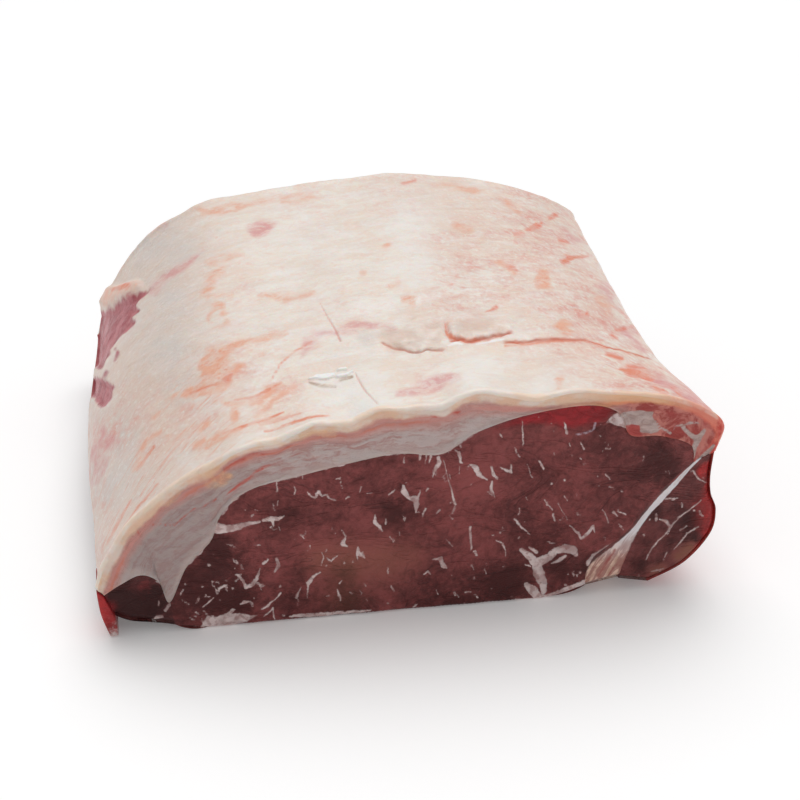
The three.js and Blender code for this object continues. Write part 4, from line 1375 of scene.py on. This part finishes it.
def skin_detail(form, distance):
    """The relief of the skin: its marks and rumples, the cream roll and the hollow of the bare lean."""
    detail, _ = mark_relief(form)
    pixels = seen_at(form)
    detail += ROLL_HEIGHT * smooth(inside_strokes(pixels, CREAM_ROLL), -5, 2)
    detail -= HOLLOW_DEPTH * smooth(inside_outlines(pixels, BARE_LEAN), -2, 5)
    rumple = SKIN_RUMPLE * crags(form * [1, 1, 1.4], 16 * MM, 21) + SKIN_PUCKER * crags(form, 3 * MM, 31)
    return detail + rumple * smooth(distance, 0, 5 * MM)


def rounded_rim(relief, inward, spots, below, face, turn, gap):
    """Rounds the rim between the skin and a cut face. turn is 1 at the front and -1 at the back."""
    close = on_skin(spots) & (gap < RIM_RADIUS)
    angle = RIM_TURN * (1 - gap / RIM_RADIUS)
    relief = np.where(close, relief - RIM_RADIUS * (1 - np.cos(angle)), relief)
    inward = np.where(close, turn * (RIM_RADIUS * (1 - np.sin(angle)) - gap), inward)
    close = face & (below < RIM_RADIUS) & (spots[:, 2] < SKIN_FROM)
    angle = RIM_TURN * (1 + below / RIM_RADIUS)
    relief = np.where(close, relief + below - RIM_RADIUS * (1 - np.cos(angle)), relief)
    inward = np.where(close, turn * RIM_RADIUS * (1 - np.sin(angle)), inward)
    return relief, inward


def cap_carried(spots):
    """Carries the cap's box to its place, with all its relief."""
    form, section, distance, thickness = cap_form(spots)
    x, up = section[:, 0], spots[:, 2]
    relief = swells(x, distance) * up
    skin = np.nonzero(on_skin(spots))[0]
    relief[skin] += skin_detail(form[skin], distance[skin])
    bead = BEAD_HEIGHT * (1 + 0.7 * crags(form * [1, 0, 1], 11 * MM, 27)) * up
    relief += bead * bell(np.minimum(distance, LENGTH - distance), 2.2 * MM, 2.0 * MM)
    below = (1 - up) * thickness
    inward = np.zeros(len(x))
    faces = ((at_cut(spots), 1, distance), (at_back(spots), -1, LENGTH - distance))
    for face in faces:
        relief, inward = rounded_rim(relief, inward, spots, below, *face)
    run = skin_run(spots[:, 0])
    moved = form + np.stack([-run[:, 1] * relief, inward, run[:, 0] * relief], 1)
    layers = np.stack([x * 0.35, below * 1.3, distance * 0], 1)
    rough = FAT_UNEVEN * crags(form * [1, 0, 1], 9 * MM, 41) + FAT_UNEVEN * crags(layers, 2.2 * MM, 45)
    inner = smooth(below, 0, 2 * MM) * smooth(up, 0, 0.15)
    for face, turn, _ in faces:
        moved[face, 1] += turn * (np.maximum(FAT_SET_BACK + rough, 0) * inner)[face]
    return moved


def out_of_sight(form, spots):
    """How surely the photograph doesn't show each point of the cap, from 0 to 1."""
    run = skin_run(spots[:, 0])
    outward = np.stack([-run[:, 1], np.zeros(len(run)), run[:, 0]], 1)
    view = np.array(CAMERA_PLACE) - form
    facing = (outward * view).sum(1) / np.linalg.norm(view, axis=1)
    turned_away = np.where(at_cut(spots), 0, 1 - smooth(facing, -0.35, -0.05))
    return np.clip(turned_away + at_back(spots), 0, 1)


def draw_on_cap(cap, form, hidden):
    """Stores how deep each point lies in the strokes and zones, which on hidden parts are left to chance."""
    pixels = seen_at(form)
    bent = wandered(wandered(form, 8 * MM, 1.9 * MM, 111), 3 * MM, 0.8 * MM, 117)
    loose = seen_at(bent + 0.35 * (bent - form) * [1, 0, 0])
    for name, strokes, outlines, wavers in CAP_DRAWN:
        drawn_on = loose if wavers else pixels
        depth = np.maximum(inside_strokes(drawn_on, strokes), inside_outlines(drawn_on, outlines))
        mark(cap, name, np.maximum(depth - 2 * REACH * hidden, -REACH))
    for name, zones in CAP_ZONES:
        chance = 0.5 + 0.35 * crags(form, 40 * MM, 101 + len(zones))
        mark(cap, name, mix(patches(pixels, zones), np.clip(chance, 0, 1), hidden))
    # Painted shade where the rolled lumps dip, for the hollows between them
    rumpled = np.minimum(patches(pixels, RUMPLED), 1) * smooth(-rumples(form), -0.05, 0.45)
    mark(cap, "hollow_shade", rumpled * (1 - hidden))


def make_fat_cap(tones):
    """The cream fat cap, with what its material reads."""
    cap, spots = block("cream_fat_cap", CAP_CELLS, cap_carried, [outer_skin, near_marks(6), near_marks(3)])
    form, section, distance, thickness = cap_form(spots)
    x, up = section[:, 0], spots[:, 2]
    draw_on_cap(cap, form, out_of_sight(form, spots))
    mark(cap, "cut", (at_cut(spots) | at_back(spots)) & ~on_skin(spots))
    mark(cap, "below_skin", (1 - up) * thickness / MM)
    mark(cap, "above_lean", up * thickness / MM)
    shares = np.linspace(0, 1, OUTLINE_SAMPLES)
    steps = np.linalg.norm(np.diff(spline(CAP_SKIN, shares), axis=0), axis=1)
    lengths = np.concatenate([[0], np.cumsum(steps)])
    mark(cap, "skin_across", np.interp(spots[:, 0], shares, lengths) / MM)
    mark(cap, "skin_along", distance / MM)
    mark(cap, "groove", mark_relief(form)[1] * on_skin(spots))
    mark(cap, "rim", 1 - smooth(np.minimum(distance, LENGTH - distance + 3 * MM), 1.6 * MM, 5.2 * MM))
    mark(cap, "far_left", smooth(-x, 40 * MM, 80 * MM))
    for name, start, end in (("peach", 50, 80), ("fleshy", 70, 84), ("tip", 88, 106)):
        mark(cap, name, smooth(x, start * MM, end * MM))
    finished(cap, moist_fat(tones), "fat_cap")


# The muscles, the seam and the flap, with their cells across, along and up

EYE_CELLS = (125, 22, 47)
TAIL_CELLS = (60, 22, 60)
SIDE_CELLS = (70, 40, 100)
SEAM_CELLS = (24, 22, 110)
FLAP_CELLS = (4, 8, 16)
LEAN_FINE = [(0, 4 * MM, 5.0), (LENGTH, 6 * MM, 4.0)]

# How far their cut faces are set back, and how uneven they are
LEAN_SET_BACK = 0.55 * MM
LEAST_SET_BACK = 0.05 * MM
LEAN_UNEVEN = 0.45 * MM
LEAN_FURROW = 0.12 * MM
FLECK_HEIGHT = 0.15 * MM

BRIGHT_RED = (0.46, 0.030, 0.030)
WARM_TONES = [
    (320, 560, 16, 0.8), (350, 562, 20, 0.9), (385, 562, 20, 0.8), (412, 558, 14, 0.5), (345, 600, 22, 0.4),
]

# The shares across the seam between which its pale band shows, and the depth of one share in pixels
SEAM_FROM = 0.30
SEAM_TO = 0.94
SEAM_WIDTH = 20
SEAM_RED = [
    [(598, 576, 1.4), (607, 562, 1.6), (615, 550, 1.0)], [(618, 578, 1.0), (624, 563, 1.4), (630, 550, 0.8)],
    [(627, 574, 0.8), (633, 558, 1.2), (637, 546, 0.6)], [(606, 580, 0.6), (613, 568, 0.8)],
]


def lean_carried(section_of, free_edges, radius):
    """Carries a muscle's box to its section, its cut faces uneven and round at the free edges."""

    def carried(spots):
        section = section_of(spots[:, 0], spots[:, 2])
        form = placed(section, steps_along(spots[:, 1], LEAN_FINE))
        for face, turn in ((at_cut(spots), 1), (at_back(spots), -1)):
            flat = section[face]
            solid = np.stack([flat[:, 0], flat[:, 1], flat[:, 1] * 0], 1)
            uneven = LEAN_UNEVEN * crags(solid, 13 * MM, 51 + turn)
            uneven += LEAN_FURROW * crags(solid, 3.5 * MM, 61 + turn)
            edge = np.full(len(flat), 1.0)
            for outline in free_edges:
                edge = np.minimum(edge, from_outline(flat, outline))
            depth = turned_in(edge, radius) + LEAN_SET_BACK + uneven
            form[face, 1] += turn * np.maximum(depth, LEAST_SET_BACK)
        form[:, 2] = np.maximum(form[:, 2], 0)
        return form

    return carried


def outline_of_foot():
    """The eye muscle's underside as outline points, in millimetres."""
    return [tuple(point / MM) for point in eye_foot(np.linspace(0, 1, 12))]


def near_flecks(section_of, strokes, reach):
    """A rule that picks the vertices of the front cut face that lie near the edge of a fleck."""

    def rule(spots):
        picked = np.zeros(len(spots), dtype=bool)
        front = np.nonzero(at_cut(spots))[0]
        form = placed(section_of(spots[front, 0], spots[front, 2]), spots[front, 1])
        picked[front] = np.abs(inside_strokes(seen_at(form), strokes)) < reach
        return picked

    return rule


def on_outer_side(spots, skinned):
    """Where a muscle's uncut side is, at the right of the share skinned."""
    return (spots[:, 0] > skinned) & ~at_cut(spots) & ~at_back(spots)


def outer_film(form, spots, skinned):
    """How red the uncut outer side of a muscle is: bright beside the cut, uneven further along."""
    further = smooth(form[:, 1] - CUT_FACE, 6 * MM, 32 * MM)
    uneven = 0.42 + 0.8 * crags(form * [1, 0.3, 1], 20 * MM, 141)
    return np.maximum(mix(1.3, uneven, further), 0) * on_outer_side(spots, skinned)


def white_fringe(section, form):
    """A ragged fringe of fat along the eye's upper edge, as a depth in pixels."""
    gap = from_outline(section, CAP_LEAN[5:]) / PIXEL + REACH * smooth(section[:, 0], 20 * MM, 45 * MM)
    flat = form * [1, 0, 1]
    return 0.9 + 2.2 * lattice(flat, 2.6 * MM, 121) + 1.1 * lattice(flat, 1.2 * MM, 123) - gap


def lean_marks(piece, spots, section_of, strokes, scattered, outlines=(), light=(), dark=(), film=(), warm=(),
               skinned=2.0, fringe=False):
    """Stores the flecks and the zones of tone on a muscle, and raises the flecks a little."""
    section = section_of(spots[:, 0], spots[:, 2])
    form = placed(section, steps_along(spots[:, 1], LEAN_FINE))
    bent = wandered(wandered(form, 3 * MM, 0.35 * MM, 91), 1.1 * MM, 0.14 * MM, 95)
    fronted = spots[:, 1] < 0.5
    pixels = seen_at(form)
    depth = np.maximum(inside_strokes(seen_at(bent), strokes), inside_outlines(seen_at(bent), outlines))
    depth = np.where(fronted, depth - 0.15, -REACH)
    if fringe:
        depth = np.maximum(depth, white_fringe(section, form))
    for stroke in scattered:
        place = np.array(stroke) / [PIXEL, PIXEL, PIXEL, 1]
        depth = np.maximum(depth, inside_strokes(bent / PIXEL, [place], 6))
    skin = on_outer_side(spots, skinned)
    membrane = np.minimum(4 * crags(form * [1, 0.18, 1], 11 * MM, 143) - 2.1, -0.55)
    further = smooth(form[:, 1] - CUT_FACE, 8 * MM, 30 * MM)
    depth = np.where(skin, np.maximum(depth, mix(-REACH, membrane, further)), depth)
    mark(piece, "white", depth)
    # Light and dark zones of tone; the dark ones carry painted shade along the eye's lower edge, the light ones
    # a painted highlight low on the side muscle
    tone = (patches(pixels, light) * 0.8 - patches(pixels, dark)) * fronted
    mark(piece, "tone", tone + mix(0.28, 0.6, skin) * crags(form * [1, 0.2, 1], 22 * MM, 71))
    red = patches(pixels, film) * mix(1, 0.6, spots[:, 1]) + outer_film(form, spots, skinned)
    if fringe:
        filmed = inside_outlines(pixels, FILM_EDGE) + 3 * crags(form * [1, 0, 1], 6 * MM, 127)
        red += 1.15 * smooth(filmed, -7, 10) * fronted
    mark(piece, "film", red)
    mark(piece, "warmth", patches(pixels, warm) * fronted)
    mark(piece, "sheen", np.where(fronted, inside_strokes(pixels, WET_SHEEN), -REACH))
    push(piece, FLECK_HEIGHT * smooth(depth, -0.4, 0.8) * (at_cut(spots) | at_back(spots)))


def on_back_cut(fleck):
    """Carries a fleck of the section to the back cut, which is higher and skewed."""
    moved = []
    for x, _, z, width in fleck:
        y = placed(np.array([[x, z]]), np.ones(1))[0][1]
        moved.append((x, y, z + TOP_RISE * smooth(z, 0, 55 * MM), width))
    return moved


def make_eye(tones):
    """The large eye muscle, marbled at both cuts."""
    strokes = EYE_FLECKS_AND_GLINTS + EYE_MEMBRANES + WHITE_WEDGE
    front = seeded_flecks(11, 120, eye_section, CUT_FACE, 1.6, 0.75)
    back = [on_back_cut(fleck) for fleck in seeded_flecks(12, 150, eye_section, BACK_FACE, 7.0, 2.6)]
    rules = [at_cut, at_back, near_flecks(eye_section, strokes, 3.0), near_flecks(eye_section, strokes, 1.6)]
    carried = lean_carried(eye_section, [outline_of_foot()], 1.5 * MM)
    eye, spots = block("eye_muscle", EYE_CELLS, carried, rules)
    zones = (LIGHT_TONES, DARK_AND_SHADE_TONES, RED_FILM, WARM_TONES)
    outlines = LEFT_MEMBRANE + CORNER_TIP
    lean_marks(eye, spots, eye_section, strokes, front + back, outlines, *zones, fringe=True)
    finished(eye, marbled_lean("Marbled lean", tones, tones.lean), "eye_lean")


def make_tail(tones):
    """The small dark muscle at the left corner."""
    carried = lean_carried(tail_section, [TAIL_FOOT], 4 * MM)
    tail, spots = block("tail_muscle", TAIL_CELLS, carried)
    lean_marks(tail, spots, tail_section, TAIL_FLECKS, [], dark=TAIL_DARK, film=TAIL_RED_AND_HIGHLIGHT)
    finished(tail, marbled_lean("Dark tail lean", tones, scaled(tones.lean, 0.55)), "tail_lean")


def make_side(tones):
    """The small muscle at the right, with its red outer side."""
    carried = lean_carried(side_section, [SIDE_SKIN, [SEAM_RIGHT[0], SIDE_SKIN[0]]], 2.5 * MM)
    rules = [at_cut, near_flecks(side_section, SIDE_FLECKS, 2.0)]
    side, spots = block("side_muscle", SIDE_CELLS, carried, rules)
    few = seeded_flecks(13, 14, side_section, CUT_FACE, 1.5, 0.7)
    lean_marks(side, spots, side_section, SIDE_FLECKS, few, light=SIDE_MEMBRANE_AND_HIGHLIGHT, dark=SIDE_DARK, film=SIDE_RED,
               warm=SIDE_MEMBRANE_AND_HIGHLIGHT, skinned=0.97)
    base = scaled(tones.lean, 0.72)
    finished(side, marbled_lean("Side lean", tones, base, BRIGHT_RED), "side_lean")


def make_seam(tones):
    """The silverskin seam, overgrown by lean at both sides of its pale band."""
    carried = lean_carried(seam_section, [[SEAM_LEFT[0], SEAM_RIGHT[0]]], 3 * MM)
    seam, spots = block("silverskin_seam", SEAM_CELLS, carried)
    above = smooth(spots[:, 2], 0.06, 0.45)
    outside = np.maximum(mix(-0.1, SEAM_FROM, above) - spots[:, 0], spots[:, 0] - mix(1.1, SEAM_TO, above))
    fronted = spots[:, 1] < 0.5
    mark(seam, "overgrown", np.where(fronted, SEAM_WIDTH * outside, -REACH))
    mark(seam, "foot", 1 - smooth(spots[:, 2], 0.22, 0.52))
    mark(seam, "raw", np.where(fronted, inside_strokes(seen_at(places(seam)), SEAM_RED), -REACH))
    finished(seam, silverskin(tones), "seam_fat")


def make_flap(tones):
    """The bright red flap at the left corner: a thin box, rounded, with lengthwise streaks."""

    def carried(spots):
        section = flap_section(spots[:, 0], spots[:, 2])
        return placed(section, spots[:, 1] * FLAP_LENGTH / LENGTH)

    flap, spots = block("corner_flap_strip", FLAP_CELLS, carried)
    form = places(flap)
    mark(flap, "film", 0.6 + 0.5 * (1 - spots[:, 0]))
    mark(flap, "tone", 0.2 * crags(form * [1, 1, 0.25], 2 * MM, 81))
    mark(flap, "white", mix(0.2, -2.5, spots[:, 2]) + 0.8 * crags(form * [1, 1, 0.2], 2 * MM, 83))
    mark(flap, "sheen", np.full(len(spots), -REACH))
    rounding = flap.modifiers.new("Rounded", "SUBSURF")
    rounding.levels = 2
    rounding.render_levels = 2
    finished(flap, marbled_lean("Bright red lean", tones, tones.film, BRIGHT_RED), "corner_flap")


# The stage

LAMP_PLACE = (0.10, 0.46, 1.0)
LAMP_SPREAD = 55
FLOOR_REACH = 12
FLOOR_GREYS = ((0.93, 0.93, 0.93), (0.95, 0.95, 0.95))


def make_floor():
    """A plain pale floor, wide enough to fill every view."""
    shape = bmesh.new()
    bmesh.ops.create_grid(shape, x_segments=8, y_segments=8, size=FLOOR_REACH)
    mesh = bpy.data.meshes.new("pale_floor")
    shape.to_mesh(mesh)
    shape.free()
    floor = bpy.data.objects.new("pale_floor", mesh)
    bpy.context.scene.collection.objects.link(floor)
    material, tree, shader = new_material(
        "Pale floor", Roughness=0.6, Specular_IOR_Level=0.2, Emission_Strength=0.13)
    send(blended(stretched(tree).speckle(3.0), *FLOOR_GREYS), shader["Base Color"])
    mesh.materials.append(material)


def make_light(light):
    """Even light all round, and a broad lamp above and behind."""
    world = bpy.data.worlds.new("Soft studio")
    world.use_nodes = True
    background = world.node_tree.nodes["Background"].inputs
    background["Color"].default_value = (1, 1, 1, 1)
    background["Strength"].default_value = light.world
    bpy.context.scene.world = world
    lamp = bpy.data.lights.new("broad_lamp", "SUN")
    lamp.energy = light.overhead
    lamp.angle = math.radians(LAMP_SPREAD)
    holder = bpy.data.objects.new("broad_lamp", lamp)
    holder.rotation_euler = (-Vector(LAMP_PLACE)).to_track_quat("-Z", "Y").to_euler()
    bpy.context.scene.collection.objects.link(holder)


def make_camera():
    """The photograph's camera, and plain colours."""
    scene = bpy.context.scene
    lens = bpy.data.cameras.new("Photo camera")
    lens.lens = LENS
    lens.sensor_width = SENSOR
    camera = bpy.data.objects.new("Photo camera", lens)
    camera.location = CAMERA_PLACE
    camera.rotation_euler = camera_axes()[0].to_track_quat("-Z", "Y").to_euler()
    scene.collection.objects.link(camera)
    scene.camera = camera
    scene.view_settings.view_transform = "Standard"
    scene.view_settings.look = "None"


# The add-on's settings, operators and panel


def tint(name, description, default):
    """A colour that a user can change."""
    return FloatVectorProperty(
        name=name, description=description, default=default, size=3, min=0, max=1, subtype="COLOR")


class JointTones(bpy.types.PropertyGroup):
    """Colours of the joint."""

    fat: tint("Fat", "Outer skin of the fat cap", (0.88, 0.81, 0.73))
    cut_fat: tint("Cut fat", "Fat where it is cut", (0.565, 0.41, 0.385))
    stain: tint("Stain", "Orange stains on the fat", (0.84, 0.42, 0.28))
    lean: tint("Lean", "Cut lean muscle", (0.200, 0.044, 0.042))
    film: tint("Red film", "Bright red lean at the edges", (0.36, 0.016, 0.022))
    fleck: tint("Marbling", "Flecks of fat in the lean", (0.84, 0.68, 0.66))
    seam: tint("Silverskin", "The seam between the muscles", (0.78, 0.72, 0.74))


class StudioLight(bpy.types.PropertyGroup):
    """Strengths of the light."""

    world: FloatProperty(name="All round", description="Strength of the even light", default=0.44, min=0)
    overhead: FloatProperty(name="Overhead", description="Strength of the lamp above", default=1.75, min=0)


class BEEF_OT_fat_cap(bpy.types.Operator):
    """Make the fat cap with its stains, crack and knife marks"""

    bl_idname = "beef.fat_cap"
    bl_label = "Fat cap"

    def execute(self, context):
        make_fat_cap(context.scene.joint_tones)
        return {"FINISHED"}


class BEEF_OT_eye(bpy.types.Operator):
    """Make the marbled eye muscle"""

    bl_idname = "beef.eye"
    bl_label = "Eye muscle"

    def execute(self, context):
        make_eye(context.scene.joint_tones)
        return {"FINISHED"}


class BEEF_OT_small_muscles(bpy.types.Operator):
    """Make the tail muscle, the side muscle and the red flap"""

    bl_idname = "beef.small_muscles"
    bl_label = "Small muscles"

    def execute(self, context):
        tones = context.scene.joint_tones
        make_tail(tones)
        make_side(tones)
        make_flap(tones)
        return {"FINISHED"}


class BEEF_OT_seam(bpy.types.Operator):
    """Make the silverskin seam between the muscles"""

    bl_idname = "beef.seam"
    bl_label = "Silverskin seam"

    def execute(self, context):
        make_seam(context.scene.joint_tones)
        return {"FINISHED"}


class BEEF_OT_stage(bpy.types.Operator):
    """Make the floor, the soft light and the camera"""

    bl_idname = "beef.stage"
    bl_label = "Stage"

    def execute(self, context):
        make_floor()
        make_light(context.scene.studio_light)
        make_camera()
        return {"FINISHED"}


OPERATORS = (BEEF_OT_stage, BEEF_OT_fat_cap, BEEF_OT_eye, BEEF_OT_small_muscles, BEEF_OT_seam)


class BEEF_PT_joint(bpy.types.Panel):
    """Lists the pieces of the joint, its colours and its light"""

    bl_label = "Beef joint"
    bl_idname = "BEEF_PT_joint"
    bl_space_type = "VIEW_3D"
    bl_region_type = "UI"
    bl_category = "Beef joint"

    def draw(self, context):
        for group in (context.scene.joint_tones, context.scene.studio_light):
            for name in group.__annotations__:
                self.layout.prop(group, name)
        for operator in OPERATORS:
            self.layout.operator(operator.bl_idname)


CLASSES = (JointTones, StudioLight, *OPERATORS, BEEF_PT_joint)


def register():
    for made in CLASSES:
        bpy.utils.register_class(made)
    bpy.types.Scene.joint_tones = PointerProperty(type=JointTones)
    bpy.types.Scene.studio_light = PointerProperty(type=StudioLight)


def unregister():
    del bpy.types.Scene.studio_light
    del bpy.types.Scene.joint_tones
    for made in reversed(CLASSES):
        bpy.utils.unregister_class(made)


def main():
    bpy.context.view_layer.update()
    register()
    bpy.ops.beef.stage()
    bpy.ops.beef.fat_cap()
    bpy.ops.beef.eye()
    bpy.ops.beef.small_muscles()
    bpy.ops.beef.seam()


if __name__ == "__main__":
    main()
